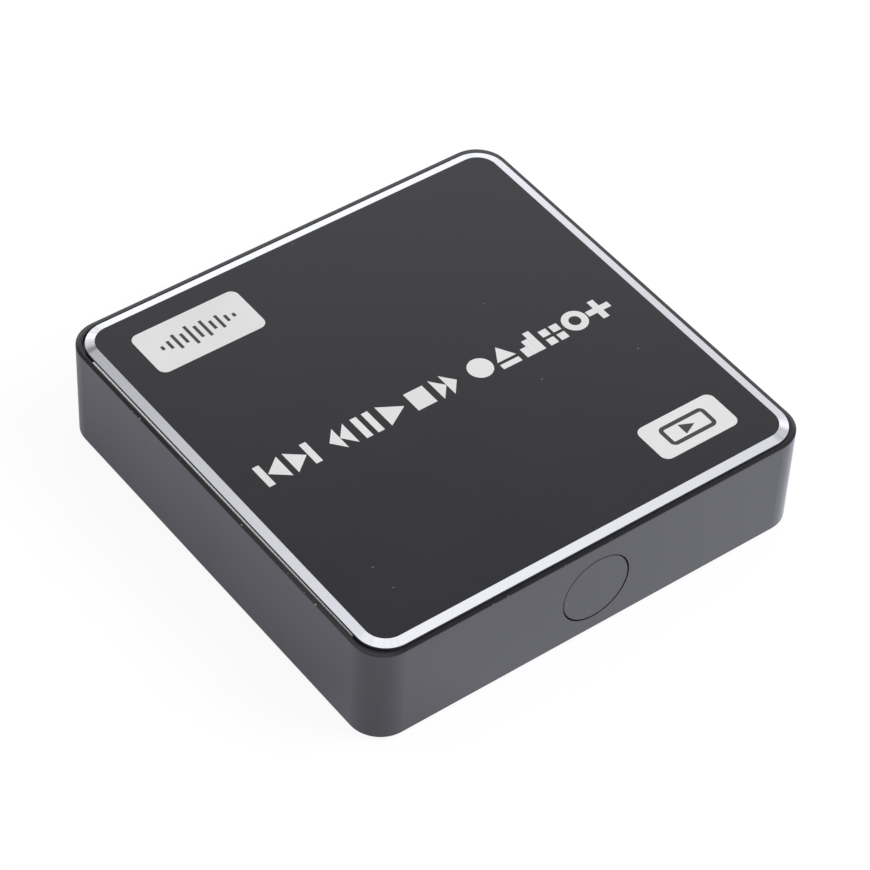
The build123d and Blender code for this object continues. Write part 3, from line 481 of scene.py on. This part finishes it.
class PLAYER_OT_housing(bpy.types.Operator):
    """Satin finish of the housing, with nicks along its upper edge, and of the key in its front wall"""

    bl_idname = "player.housing"
    bl_label = "Housing and key"

    # Depths below the highest edge where the band of painted shade and the polished rim begin and are full
    shade_band_depths = (0.32 * MM, 0.22 * MM)
    rim_depths = (0.12 * MM, 0.09 * MM)
    # Depth of the nicked line, and how far from it the nicks begin to fade and end
    nick_depth, nick_core, nick_reach = 0.12 * MM, 0.03 * MM, 0.11 * MM
    nick_scale, nick_tones = 1300.0, (0.72, 0.78)
    # The band's colour is painted shade under the edge; the nicks' colour is worn plastic
    band_colour, nick_colour = (0.005, 0.005, 0.006), (0.5, 0.5, 0.51)
    rim_roughness = 0.16
    wall_shine, band_shine, rim_shine = 0.5, 0.12, 0.58
    key_tone = 1.02

    def execute(self, context):
        colour = context.scene.player_colours.housing
        shell = moulded("satin_black_moulding", colour, (0.27, 0.31), relief=0.05, dust=0.05, drift=0.03)
        self.edge(shell)
        coat_node(shell, "upper_housing")
        paler = [c * self.key_tone for c in colour]
        smoked = moulded("smoked_key_plastic", paler, (0.26, 0.3), relief=0.04, dust=0.03, drift=0.03)
        coat_node(smoked, "power_key", "key_switch_stem")
        return {"FINISHED"}

    def edge(self, shell):
        """Paints shade as a dark band under the upper edge, polishes the rim and nicks it here and there."""
        tree = shell.node_tree
        shader = tree.nodes["Principled BSDF"]
        place = tree.nodes["Texture Coordinate"].outputs["Object"]
        height = axes(tree, place)["Z"]
        off = calc(tree, "SUBTRACT", height, housing_high.z - self.nick_depth)
        near = spread(tree, calc(tree, "ABSOLUTE", off), 1.0, 0.0, self.nick_core, self.nick_reach)
        chips = spread(tree, noise(tree, place, self.nick_scale, detail=1.0), 0.0, 1.0, *self.nick_tones)
        nicks = calc(tree, "MULTIPLY", near, chips)
        band, rim = (
            spread(tree, height, 0.0, 1.0, housing_high.z - begin, housing_high.z - full)
            for begin, full in (self.shade_band_depths, self.rim_depths)
        )
        base = shader.inputs["Base Color"].links[0].from_socket
        rough = shader.inputs["Roughness"].links[0].from_socket
        # A dark band of painted shade under the upper edge, then pale nicks of wear over it
        base = tint(tree, nicks, tint(tree, band, base, self.band_colour), self.nick_colour)
        rough = fade(tree, rim, rough, self.rim_roughness)
        shine = spread(tree, band, self.wall_shine, self.band_shine)
        shine = calc(tree, "ADD", shine, calc(tree, "MULTIPLY", rim, self.rim_shine))
        feed(tree, shader, Base_Color=base, Roughness=rough, Specular_IOR_Level=shine)


class PLAYER_OT_plate(bpy.types.Operator):
    """Anodised plate with its bright bevel and black sides"""

    bl_idname = "player.plate"
    bl_label = "Top plate"

    # The sides are painted this many times paler than the face: painted light in the shadowed gap
    side_painted_light = 5.0
    sharp = math.radians(8)

    # Facets at the corners, painted darker as reflections and strongest at the back left one, and hairlines
    # along the bevel
    facet_scale, facet_tones, facet_grey = 2.6, (0.42, 0.62), 0.7
    facet_fade = 0.6 * MM
    facet_shares, facet_places = (0.25, 1.0), (10 * MM, 60 * MM)
    corner_step = 3.0  # tells the corners apart
    hair_scale, hair_gloss = 5200.0, (0.15, 0.19)

    def execute(self, context):
        sizes = context.scene.player_sizes
        colours = context.scene.player_colours
        ink_room = 2 * sizes.print_height
        shoulder = plate_high.z - sizes.bevel_drop
        middle = (plate_low.xy + plate_high.xy) / 2
        extent = plate_high.xy - plate_low.xy

        def shape(bm):
            face = flat_panel(bm, middle, *extent, plate_low.z, sizes.corner_radius, segments=16)
            top = raise_faces(bm, [face], shoulder - plate_low.z)
            ring = inset(bm, top, sizes.bevel_width)
            bmesh.ops.translate(bm, verts=top[0].verts, vec=(0.0, 0.0, sizes.bevel_drop - ink_room))
            bm.normal_update()
            # Finish 0 is the face's, 1 the bevel's and 2 the sides'
            for part in bm.faces:
                part.material_index = 2 if abs(part.normal.z) < 0.5 else 0
            for part in ring:
                part.material_index = 1

        face = moulded(
            "black_anodised_face", colours.plate, (0.3, 0.34), grain=6500.0, relief=0.08, dust=0.1, drift=0.04
        )
        cut = self.bright(colours.bright_cut, middle, extent / 2, sizes.corner_radius)
        # Painted light: the sides take a paler copy of the face's colour to lift the shadowed gap
        paler = [c * self.side_painted_light for c in colours.plate]
        side = moulded(
            "sheared_edge_painted_light", paler, (0.6, 0.72), grain=3000.0, relief=0.2, Specular_IOR_Level=0.2
        )
        plate = new_piece("bevelled_plate", shape, [face, cut, side], "case", self.sharp)
        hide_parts("top_plate")
        return {"FINISHED"}

    def bright(self, colour, middle, half, corner_radius):
        """Bright cut: hairlines along the bevel, and facets across it where the cutter turned a corner,
        painted darker as reflections.
        """
        material, tree, shader, place = start_material("bright_cut_bevel", Metallic=1.0)
        centred = put(tree, "VectorMath", {0: place, 1: (*middle, 0.0)}, operation="SUBTRACT")
        spot = axes(tree, centred.outputs[0])
        past_x = self.past(tree, spot["X"], half.x - corner_radius)
        past_y = self.past(tree, spot["Y"], half.y - corner_radius)
        squares = [calc(tree, "MULTIPLY", past, past) for past in (past_x, past_y)]
        out = calc(tree, "SQRT", calc(tree, "ADD", *squares))
        which = calc(tree, "MULTIPLY", calc(tree, "SIGN", spot["X"]), self.corner_step)
        which = calc(tree, "ADD", which, calc(tree, "SIGN", spot["Y"]))
        turned = calc(tree, "ADD", calc(tree, "ARCTAN2", past_y, past_x), which)
        ends = [spread(tree, past, 0.0, 1.0, 0.0, self.facet_fade) for past in (past_x, past_y)]
        across = calc(tree, "SUBTRACT", spot["Y"], spot["X"])
        share = spread(tree, across, *self.facet_shares, *self.facet_places)
        corner = calc(tree, "MULTIPLY", calc(tree, "MULTIPLY", *ends), share)
        facets = spread(tree, ripple(tree, turned, self.facet_scale), 0.0, 1.0, *self.facet_tones)
        # Painted reflection: the facets darken the bevel's colour, most at the back left corner
        shade = calc(tree, "MULTIPLY", facets, corner)
        grey = [c * self.facet_grey for c in colour]
        hairs = spread(tree, ripple(tree, out, self.hair_scale), *self.hair_gloss, *NOISE_SPAN)
        feed(tree, shader, Base_Color=tint(tree, shade, colour, grey), Roughness=hairs)
        return material

    def past(self, tree, measure, straight):
        """How far a place lies past the straight part of a side."""
        beyond = calc(tree, "SUBTRACT", calc(tree, "ABSOLUTE", measure), straight)
        return calc(tree, "MAXIMUM", beyond, 0.0)


class PLAYER_OT_prints(bpy.types.Operator):
    """Two badges and a row of common player symbols, printed on the plate"""

    bl_idname = "player.prints"
    bl_label = "Prints"

    # Left and right end of each group in the row, from the player's middle, and its symbols
    row_low = -4.5 * MM
    groups = (
        (-36.7 * MM, -26.0 * MM, ("skip_back", "skip_on")),
        (-22.9 * MM, 3.4 * MM, ("rewind", "pause", "play", "stop", "forward")),
        (6.4 * MM, 35.8 * MM, ("record", "eject", "levels", "index", "ring", "plus")),
    )
    symbol_gap = 1.15 * MM

    # Middle, size and corner of each badge
    long_badge = ((-25.7 * MM, 32.3 * MM), (21.6 * MM, 10.6 * MM), 1.55 * MM)
    short_badge = ((28.4 * MM, -32.65 * MM), (16.2 * MM, 8.5 * MM), 1.55 * MM)

    # Bars on the long badge and the screen on the short one, in shares of the badge
    wave_shares = (0.2, 0.42, 0.78, 0.52, 1.0, 0.64, 0.86, 0.46, 0.7, 0.34, 0.18)
    wave_reach, wave_height, wave_stroke = 0.7, 0.46, 0.6 * MM
    screen_width, screen_height = 0.6, 0.56
    screen_stroke, screen_corner = 0.8 * MM, 1.1 * MM
    screen_arrow = (-0.12, -0.26, 0.27, 0.52)  # left, low, width and height, in shares of the screen

    def execute(self, context):
        sizes = context.scene.player_sizes
        colours = context.scene.player_colours
        floor = plate_high.z - 2 * sizes.print_height
        grain = {"grain": 4200.0, "relief": 0.05}
        light = moulded("silver_grey_ink", colours.light_ink, (0.44, 0.52), drift=0.03, **grain)
        dark = moulded("dark_grey_ink", colours.dark_ink, (0.42, 0.5), drift=0.05, **grain)

        def row(bm):
            for start, end, kinds in self.groups:
                width = (end - start + self.symbol_gap) / len(kinds) - self.symbol_gap
                for number, kind in enumerate(kinds):
                    left = start + number * (width + self.symbol_gap)
                    cell = (left, self.row_low, width, sizes.symbol_height)
                    symbol(bm, kind, *cell, sizes.symbol_stroke, floor)
            raise_faces(bm, bm.faces[:], sizes.print_height)

        def badges(bm):
            for centre, extent, corner in (self.long_badge, self.short_badge):
                flat_panel(bm, centre, *extent, floor, corner)
            raise_faces(bm, bm.faces[:], sizes.print_height)

        def icons(bm):
            level = floor + sizes.print_height
            self.wave(bm, level)
            self.screen(bm, level)
            raise_faces(bm, bm.faces[:], sizes.print_height)

        new_piece("printed_symbols", row, [light], "case")
        new_piece("printed_badges", badges, [light], "case")
        new_piece("badge_icons", icons, [dark], "case")
        return {"FINISHED"}

    def wave(self, bm, level):
        """A row of thin bars of changing height on the long badge."""
        (x, y), (width, depth), _ = self.long_badge
        reach = width * self.wave_reach
        step = (reach - self.wave_stroke) / (len(self.wave_shares) - 1)
        for number, share in enumerate(self.wave_shares):
            height = share * depth * self.wave_height
            bar(bm, x - reach / 2 + number * step, y - height / 2, self.wave_stroke, height, level)

    def screen(self, bm, level):
        """A bold frame with an arrow in it on the short badge."""
        (x, y), (width, depth), _ = self.short_badge
        wide = width * self.screen_width
        tall = depth * self.screen_height
        face = flat_panel(bm, (x, y), wide, tall, level, self.screen_corner, segments=6)
        hollow(bm, face, self.screen_stroke)
        left, low, across, high = self.screen_arrow
        arrow(bm, x + wide * left, y + tall * low, wide * across, tall * high, level)


class PLAYER_OT_tape(bpy.types.Operator):
    """Foam tape under the plate, whose left edge shows in the gap"""

    bl_idname = "player.tape"
    bl_label = "Plate tape"

    # Painted glow that brightens the foam in the shadowed gap: little at the near end, all from a little
    # before the middle
    near_glow, far_glow = (0.1, 0.1, 0.1), (1.0, 1.0, 1.0)
    glow_places = (-42 * MM, -5 * MM)

    def execute(self, context):
        foam = moulded(
            "white_foam_tape", (0.93, 0.93, 0.94), (0.4, 0.6), grain=3500.0, relief=0.08, drift=0.03,
            Emission_Strength=0.2,
        )
        tree = foam.node_tree
        along = axes(tree, tree.nodes["Texture Coordinate"].outputs["Object"])["Y"]
        # Painted glow: the foam shines though it is no lamp, brighter towards the back
        glow = tint(tree, spread(tree, along, 0.0, 1.0, *self.glow_places), self.near_glow, self.far_glow)
        feed(tree, tree.nodes["Principled BSDF"], Emission_Color=glow)
        coat_node(foam, "plate_tape")
        return {"FINISHED"}


class PLAYER_OT_cover(bpy.types.Operator):
    """Spark-grained base cover"""

    bl_idname = "player.cover"
    bl_label = "Base cover"

    def execute(self, context):
        cover = moulded(
            "grained_black_cover", (0.03, 0.03, 0.032), (0.42, 0.55), grain=2600.0, relief=0.45, dust=0.05
        )
        coat_node(cover, "base_cover")
        return {"FINISHED"}


class PLAYER_OT_feet(bpy.types.Operator):
    """Moulded rubber feet with soft edges and a ring pressed into each"""

    bl_idname = "player.feet"
    bl_label = "Feet"

    # The pressed ring: its place and width in shares of the radius, its slope and depth in shares of the edge
    ring_place, ring_width, ring_slope, ring_depth = 0.3, 0.14, 0.4, 0.5
    rim_share = 0.99

    def execute(self, context):
        edge = context.scene.player_sizes.foot_edge
        rubber = moulded(
            "black_rubber_pad", (0.026, 0.026, 0.027), (0.62, 0.8), grain=1800.0, relief=0.3, dust=0.16
        )
        for end in ("front", "back"):
            for side in ("left", "right"):
                low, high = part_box(f"foot_{end}_{side}")

                def shape(bm):
                    self.pad(bm, low, high, edge)

                foot = new_piece(f"rubber_foot_{end}_{side}", shape, [rubber], "case")
                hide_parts(f"foot_{end}_{side}")
        return {"FINISHED"}

    def pad(self, bm, low, high, edge):
        """A round pad whose lower edge is rounded and whose underside has a shallow ring."""
        middle = (low + high) / 2
        radius = (high.x - low.x) / 2
        bmesh.ops.create_cone(
            bm, cap_ends=True, segments=64, radius1=radius, radius2=radius, depth=high.z - low.z,
            matrix=Matrix.Translation(middle),
        )
        under = min(bm.faces, key=lambda face: face.calc_center_median().z)
        inset(bm, [under], radius * self.ring_place)
        ring = inset(bm, [under], radius * self.ring_width)
        inset(bm, ring, edge * self.ring_slope, -edge * self.ring_depth)
        rim = [
            item for item in bm.edges
            if all(
                abs(v.co.z - low.z) < SAME_LEVEL and (v.co.xy - middle.xy).length > radius * self.rim_share
                for v in item.verts
            )
        ]
        bmesh.ops.bevel(
            bm, geom=rim, offset=edge, offset_type="OFFSET", affect="EDGES",
            segments=4, profile=0.5, material=-1,
        )


class PLAYER_OT_screws(bpy.types.Operator):
    """Pan-head screws with cross recesses in the base cover"""

    bl_idname = "player.screws"
    bl_label = "Cover screws"

    shank_radius = 1.15 * MM
    head_radius = 2.1 * MM
    head_height = 0.8 * MM
    crown_radius, crown_height = 0.86, 0.22  # shares of the head
    tip_radius, tip_length = 0.6, 0.5 * MM  # share of the shank, and a length
    slot_share, slot_depth, slot_taper = 0.13, 0.55 * MM, 0.93

    def execute(self, context):
        recess = context.scene.player_sizes.screw_recess
        zinc = rolled(
            "zinc_plated_screw", (0.62, 0.62, 0.6), (0.24, 0.4), stretch=(1.0, 1.0, 1.0), lines=2200.0
        )
        spots = [
            (x, y)
            for x in (screws_low.x + self.head_radius, screws_high.x - self.head_radius)
            for y in (screws_low.y + self.head_radius, screws_high.y - self.head_radius)
        ]

        def shape(bm):
            for x, y in spots:
                self.screw(bm, Vector((x, y, screws_low.z)), recess)

        screws = new_piece("cross_recess_screws", shape, [zinc], "case", sharp=math.radians(35))
        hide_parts("cover_screws")
        return {"FINISHED"}

    def screw(self, bm, foot, recess):
        """One screw: its profile is spun, and a cross is pressed into a square in the middle of its head."""
        square = recess / 2
        length = screws_high.z - screws_low.z
        profile = (
            (self.head_radius * self.crown_radius, 0.0),
            (self.head_radius, self.head_height * self.crown_height),
            (self.head_radius, self.head_height),
            (self.shank_radius, self.head_height),
            (self.shank_radius, length - self.tip_length),
            (self.shank_radius * self.tip_radius, length),
            (0.0, length),
        )
        points = [bm.verts.new(foot + Vector((radius, 0.0, height))) for radius, height in profile]
        edges = [bm.edges.new(pair) for pair in zip(points, points[1:])]
        bmesh.ops.spin(
            bm, geom=points + edges, cent=foot, axis=(0.0, 0.0, 1.0), angle=math.tau, steps=32,
            use_merge=True,
        )
        rim = [
            edge for edge in bm.edges
            if edge.is_boundary and all(abs(point.co.z - foot.z) < SAME_LEVEL for point in edge.verts)
            and (edge.verts[0].co.xy - foot.xy).length < self.head_radius
        ]
        grid = bmesh.ops.create_grid(
            bm, x_segments=3, y_segments=3, size=square, matrix=Matrix.Translation(foot)
        )["verts"]
        slot = recess * self.slot_share
        inner = square * 0.6  # parts the grid's inner points, which become the cross, from its border
        for point in grid:
            offset = point.co - foot
            for axis in (0, 1):
                if abs(offset[axis]) < inner:
                    point.co[axis] = foot[axis] + math.copysign(slot, offset[axis])
        faces = {face for point in grid for face in point.link_faces if all(v in grid for v in face.verts)}
        outline = [edge for face in faces for edge in face.edges if edge.is_boundary]
        bmesh.ops.bridge_loops(bm, edges=rim + outline)
        cross = [face for face in faces if min(abs(c) for c in (face.calc_center_median() - foot).xy) < slot]
        pressed = raise_faces(bm, cross, self.slot_depth)
        bmesh.ops.delete(bm, geom=[f for f in cross if f.is_valid], context="FACES_ONLY")
        taper = (self.slot_taper, self.slot_taper, 1.0)
        for face in pressed:
            bmesh.ops.scale(bm, verts=face.verts, vec=taper, space=Matrix.Translation(-foot))


class PLAYER_OT_sockets(bpy.types.Operator):
    """Steel shells, black tongues and gilt contacts of the sockets in the back and right walls"""

    bl_idname = "player.sockets"
    bl_label = "Sockets"

    def execute(self, context):
        steel = rolled(
            "nickel_plated_sheet", (0.74, 0.73, 0.71), (0.2, 0.34), stretch=(1.0, 14.0, 14.0), lines=1400.0
        )
        coat_node(steel, "card_cover", "dc_jack_pin", "dc_jack_contact")
        black = moulded("black_socket_moulding", (0.02, 0.02, 0.021), (0.34, 0.46), grain=4200.0, relief=0.15)
        coat_node(black, "dc_jack_body", "av_jack_body", "card_frame", "card_slide", "key_switch_body")
        gilt = rolled("gilt_contact", (0.86, 0.66, 0.32), (0.18, 0.3), (8.0, 8.0, 1.0), lines=1800.0)
        coat_node(gilt, "card_contacts", "av_jack_contacts")
        for part, finish in (("shell", steel), ("tongue", black), ("contacts", gilt)):
            coat_node(finish, f"video_socket_{part}", f"data_socket_{part}_1", f"data_socket_{part}_2")
        wire = rolled("drawn_spring_wire", (0.6, 0.6, 0.61), (0.2, 0.32), stretch=(1.0, 6.0, 6.0))
        coat_node(wire, "latch_wire")
        return {"FINISHED"}


class PLAYER_OT_spring(bpy.types.Operator):
    """Round-wire return spring of the card slide"""

    bl_idname = "player.spring"
    bl_label = "Return spring"

    turns = 9
    steps_per_turn = 20
    wire_radius = 0.1 * MM
    wire_sides = 8
    sharp = math.radians(60)

    def execute(self, context):
        wire = bpy.data.materials["drawn_spring_wire"]
        middle = (spring_low + spring_high) / 2
        coil = min(spring_high.y - spring_low.y, spring_high.z - spring_low.z) / 2 - self.wire_radius
        run = spring_high.x - spring_low.x - 2 * self.wire_radius
        steps = self.turns * self.steps_per_turn

        def shape(bm):
            start = Vector((spring_low.x + self.wire_radius, middle.y + coil, middle.z))
            ring = bmesh.ops.create_circle(
                bm, segments=self.wire_sides, radius=self.wire_radius, matrix=Matrix.Translation(start)
            )["verts"]
            edges = list({edge for point in ring for edge in point.link_edges})
            bmesh.ops.spin(
                bm, geom=ring + edges, cent=(start.x, middle.y, middle.z), axis=(1.0, 0.0, 0.0),
                angle=math.tau * self.turns, steps=steps, dvec=(run / steps, 0.0, 0.0), use_merge=False,
            )
            bmesh.ops.holes_fill(bm, edges=[e for e in bm.edges if e.is_boundary], sides=self.wire_sides)

        spring = new_piece("return_spring", shape, [wire], "case", self.sharp)
        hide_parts("card_spring")
        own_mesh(spring)
        return {"FINISHED"}


class PLAYER_OT_board(bpy.types.Operator):
    """Board and the parts on it, which show through the vents and the card slot"""

    bl_idname = "player.board"
    bl_label = "Board and its parts"

    def execute(self, context):
        coat_node(self.solder_mask(), "main_board")
        epoxy = moulded("black_chip_epoxy", (0.022, 0.022, 0.024), (0.45, 0.6), grain=3600.0, relief=0.3)
        coat_node(epoxy, "processor", "memory_chips", "flash_chip", "infrared_eye", "power_coil")
        pad = moulded("grey_heat_pad", (0.42, 0.44, 0.48), (0.6, 0.75), grain=2400.0, relief=0.2)
        coat_node(pad, "thermal_pad")
        fins = rolled("black_anodised_fins", (0.05, 0.05, 0.055), (0.34, 0.46), stretch=(1.0, 9.0, 1.0))
        coat_node(fins, "heat_sink")
        can = rolled("drawn_can", (0.82, 0.82, 0.83), (0.2, 0.34), stretch=(1.0, 1.0, 9.0))
        coat_node(can, "crystal", "capacitors")
        ceramic = moulded("fired_ceramic", (0.42, 0.31, 0.19), (0.4, 0.55), grain=3600.0, relief=0.2)
        coat_node(ceramic, "chip_parts")
        clear = moulded("clear_lamp_epoxy", (0.82, 0.82, 0.77), (0.1, 0.2), grain=3600.0, relief=0.05)
        coat_node(clear, "status_lamp")
        return {"FINISHED"}

    def solder_mask(self):
        """Green mask with the copper's tracks faintly raised under it."""
        material, tree, shader, place = start_material("green_solder_mask")
        tracks = put(
            tree, "TexBrick",
            {"Vector": place, "Scale": 240.0, "Mortar Size": 0.035, "Brick Width": 0.9, "Row Height": 0.22},
            offset=0.37, squash=1.6, squash_frequency=3,
        )
        mask = tracks.outputs["Fac"]
        green = tint(tree, mask, (0.012, 0.07, 0.03), (0.03, 0.15, 0.06))
        feed(tree, shader, Base_Color=green, Roughness=spread(tree, mask, 0.34, 0.24))
        add_bump(tree, shader, mask, strength=0.4, depth=0.03 * MM)
        return material


class PLAYER_OT_stage(bpy.types.Operator):
    """Pale floor, soft light and the camera"""

    bl_idname = "player.stage"
    bl_label = "Stage"

    # The floor as it is seen, as it is mirrored and as it scatters light
    floor_half = 3.0
    paper = (0.82, 0.82, 0.82, 1.0)
    direct_share, direct_glow = 0.84, 1.07
    mirror_share, mirror_colour = 0.72, (0.965, 0.96, 1.11, 1.0)
    bounce_glow = 0.6

    # Glow of the mirrored floor from left to front, at the left wall and to the right: strengths, then places
    side_glow = (0.64, 1.6, -20 * MM, 26 * MM)
    wall_glow = (0.4, 0.0, -58 * MM, -46 * MM)
    right_glow = (0.0, 0.14, 0.0, 45 * MM)

    # Card and flag as the camera faces them: middle, half size, and glow along them and by height
    card_stand = ((0.0, 0.45, 0.36), (0.7, 0.36))
    flag_stand = ((0.08, 0.45, 0.87), (0.2, 0.15))
    card_colour = (0.98, 0.98, 1.03, 1.0)
    foot_heights = (0.28, 0.38)
    foot_glow = (1.06, 0.74, 0.06, 0.157)
    high_glow = (1.5, 0.14, 0.36, 0.55)
    end_glow = (0.28, 0.62, 0.2, 0.32)

    # The room that reflections see: how far up, and how bright
    room_tones = (
        (0.0, 1.0), (0.5, 1.0), (0.68, 0.5), (0.78, 0.45), (0.86, 0.83), (0.885, 0.955), (0.92, 0.985),
        (1.0, 0.985),
    )
    room_colour = (0.98, 0.985, 1.03)

    lamp_place, lamp_size = (0.52, -0.48, 0.72), 0.55

    def execute(self, context):
        stage = context.scene.player_stage
        self.floor()
        self.card(stage.azimuth)
        self.world(context.scene, stage.sky)
        self.lamp(stage.key_power)
        self.camera(context.scene, stage)
        context.scene.view_settings.view_transform = "Standard"
        return {"FINISHED"}

    def empty_material(self, name):
        """Starts a material with no shader; returns it and its tree."""
        material = bpy.data.materials.new(name)
        material.use_nodes = True
        material.node_tree.nodes.clear()
        return material, material.node_tree

    def floor(self):
        """A wide white sheet that keeps a soft shadow and mirrors brighter in front than on the left."""
        floor = self.sheet("studio_floor", Matrix.Diagonal((self.floor_half, self.floor_half, 1.0, 1.0)))
        material, tree = self.empty_material("white_floor")
        floor.data.materials.append(material)
        place = axes(tree, put(tree, "TexCoord").outputs["Object"])
        glow = spread(tree, calc(tree, "SUBTRACT", place["X"], place["Y"]), *self.side_glow)
        for more in (self.wall_glow, self.right_glow):
            glow = calc(tree, "ADD", glow, spread(tree, place["X"], *more))
        paper = put(tree, "BsdfDiffuse", {"Color": self.paper}).outputs[0]
        bounce = glow_node(tree, WHITE, self.bounce_glow)
        mirrored = blend(tree, self.mirror_share, paper, glow_node(tree, self.mirror_colour, glow))
        direct = blend(tree, self.direct_share, paper, glow_node(tree, WHITE, self.direct_glow))
        clear = put(tree, "BsdfTransparent").outputs[0]
        path = put(tree, "LightPath").outputs
        seen = calc(tree, "MAXIMUM", path["Is Camera Ray"], path["Is Transmission Ray"])
        behind = put(tree, "NewGeometry").outputs["Backfacing"]
        mixed = blend(tree, path["Is Diffuse Ray"], paper, bounce)
        mixed = blend(tree, path["Is Glossy Ray"], mixed, mirrored)
        mixed = blend(tree, behind, blend(tree, seen, mixed, direct), clear)
        put(tree, "OutputMaterial", {"Surface": mixed})

    def sheet(self, name, place):
        """A flat sheet of the stage."""
        bm = bmesh.new()
        bmesh.ops.create_grid(bm, x_segments=2, y_segments=2, size=1.0, matrix=place)
        mesh = bpy.data.meshes.new(name)
        bm.to_mesh(mesh)
        bm.free()
        sheet = bpy.data.objects.new(name, mesh)
        bpy.context.scene.collection.objects.link(sheet)
        return sheet

    def card(self, azimuth):
        """A white card behind the player and a dark flag over it that only reflections see."""
        facing = Matrix.Rotation(azimuth, 4, "Z")
        upright = Matrix.Rotation(math.tau / 4, 4, "X")
        material, tree = self.empty_material("white_card")
        for name, (spot, half) in (("white_card", self.card_stand), ("dark_flag", self.flag_stand)):
            stand = Matrix.Translation(spot) @ upright @ Matrix.Diagonal((*half, 1.0, 1.0))
            sheet = self.sheet(name, facing @ stand)
            sheet.data.materials.append(material)
            for ray in ("camera", "diffuse", "transmission", "shadow"):
                setattr(sheet, f"visible_{ray}", False)
        place = axes(tree, put(tree, "TexCoord").outputs["Object"])
        along = calc(
            tree, "ADD", calc(tree, "MULTIPLY", place["X"], facing[0][0]),
            calc(tree, "MULTIPLY", place["Y"], facing[1][0]),
        )
        foot = spread(tree, along, *self.foot_glow)
        high = calc(
            tree, "MAXIMUM", spread(tree, place["Z"], *self.high_glow), spread(tree, along, *self.end_glow)
        )
        low = spread(tree, place["Z"], 1.0, 0.0, *self.foot_heights)
        lit = glow_node(tree, self.card_colour, fade(tree, low, high, foot))
        put(tree, "OutputMaterial", {"Surface": lit})

    def world(self, scene, sky):
        """Even soft light; reflections see a bright room with a darker belt part of the way up."""
        world = bpy.data.worlds.new("studio")
        scene.world = world
        world.use_nodes = True
        tree = world.node_tree
        tree.nodes.clear()
        way = axes(tree, put(tree, "TexCoord").outputs["Generated"])
        ramp = put(tree, "ValToRGB", {"Fac": way["Z"]})
        elements = ramp.color_ramp.elements
        elements[0].position = self.room_tones[0][0]
        elements[1].position = self.room_tones[-1][0]
        for position, _ in self.room_tones[1:-1]:
            elements.new(position)
        for element, (_, tone) in zip(elements, self.room_tones):
            element.color = (*(tone * c for c in self.room_colour), 1.0)
        room, soft, white = (
            put(tree, "Background", {"Color": colour, "Strength": strength}).outputs[0]
            for colour, strength in ((ramp.outputs["Color"], 1.0), (WHITE, sky), (WHITE, 1.0))
        )
        path = put(tree, "LightPath").outputs
        mirrored = calc(tree, "MAXIMUM", path["Is Glossy Ray"], path["Is Transmission Ray"])
        mixed = blend(tree, path["Is Camera Ray"], blend(tree, mirrored, soft, room), white)
        put(tree, "OutputWorld", {"Surface": mixed})

    def lamp(self, power):
        """A large square lamp aimed at the player."""
        light = bpy.data.lights.new("key_lamp", "AREA")
        light.shape = "SQUARE"
        light.size = self.lamp_size
        light.energy = power
        lamp = bpy.data.objects.new("key_lamp", light)
        bpy.context.scene.collection.objects.link(lamp)
        lamp.location = self.lamp_place
        lamp.rotation_euler = Vector(self.lamp_place).to_track_quat("Z", "Y").to_euler()
        lamp.visible_glossy = False

    def camera(self, scene, stage):
        """The photograph's view: a long lens from the front left, above."""
        flat = math.cos(stage.elevation)
        across = Vector((math.cos(stage.azimuth), math.sin(stage.azimuth), 0.0))
        back = Vector((across.y * flat, -across.x * flat, math.sin(stage.elevation)))
        upward = back.cross(across)
        right = across * math.cos(stage.roll) + upward * math.sin(stage.roll)
        up = upward * math.cos(stage.roll) - across * math.sin(stage.roll)
        spot = back * stage.distance + right * stage.slide_right + up * stage.slide_up
        spot.z += plate_high.z - stage.plate_level
        lens = bpy.data.cameras.new("photo_camera")
        lens.lens = stage.lens
        lens.sensor_width = 36.0
        lens.clip_start = 0.01
        camera = bpy.data.objects.new("photo_camera", lens)
        scene.collection.objects.link(camera)
        camera.matrix_world = Matrix.Translation(spot) @ Matrix((right, up, back)).transposed().to_4x4()
        scene.camera = camera


class PLAYER_PT_sidebar(bpy.types.Panel):
    """Lists the steps that dress the player"""

    bl_idname = "PLAYER_PT_sidebar"
    bl_label = "Media player"
    bl_space_type = "VIEW_3D"
    bl_region_type = "UI"
    bl_category = "Player"

    def draw(self, context):
        for step in STEPS:
            self.layout.operator(step.bl_idname, text=step.bl_label)
        for name, group in GROUPS:
            column = self.layout.column(align=True)
            for value in group.__annotations__:
                column.prop(getattr(context.scene, name), value)


GROUPS = (("player_sizes", PlayerSizes), ("player_colours", PlayerColours), ("player_stage", PlayerStage))
STEPS = (
    PLAYER_OT_stage,
    PLAYER_OT_housing,
    PLAYER_OT_plate,
    PLAYER_OT_prints,
    PLAYER_OT_tape,
    PLAYER_OT_cover,
    PLAYER_OT_feet,
    PLAYER_OT_screws,
    PLAYER_OT_sockets,
    PLAYER_OT_spring,
    PLAYER_OT_board,
)


def register():
    for name, group in GROUPS:
        bpy.utils.register_class(group)
        setattr(bpy.types.Scene, name, PointerProperty(type=group))
    for step in STEPS:
        bpy.utils.register_class(step)
    bpy.utils.register_class(PLAYER_PT_sidebar)


def unregister():
    bpy.utils.unregister_class(PLAYER_PT_sidebar)
    for step in reversed(STEPS):
        bpy.utils.unregister_class(step)
    for name, group in reversed(GROUPS):
        delattr(bpy.types.Scene, name)
        bpy.utils.unregister_class(group)


def main():
    register()
    for step in STEPS:
        area, name = step.bl_idname.split(".")
        getattr(getattr(bpy.ops, area), name)()


if __name__ == "__main__":
    main()
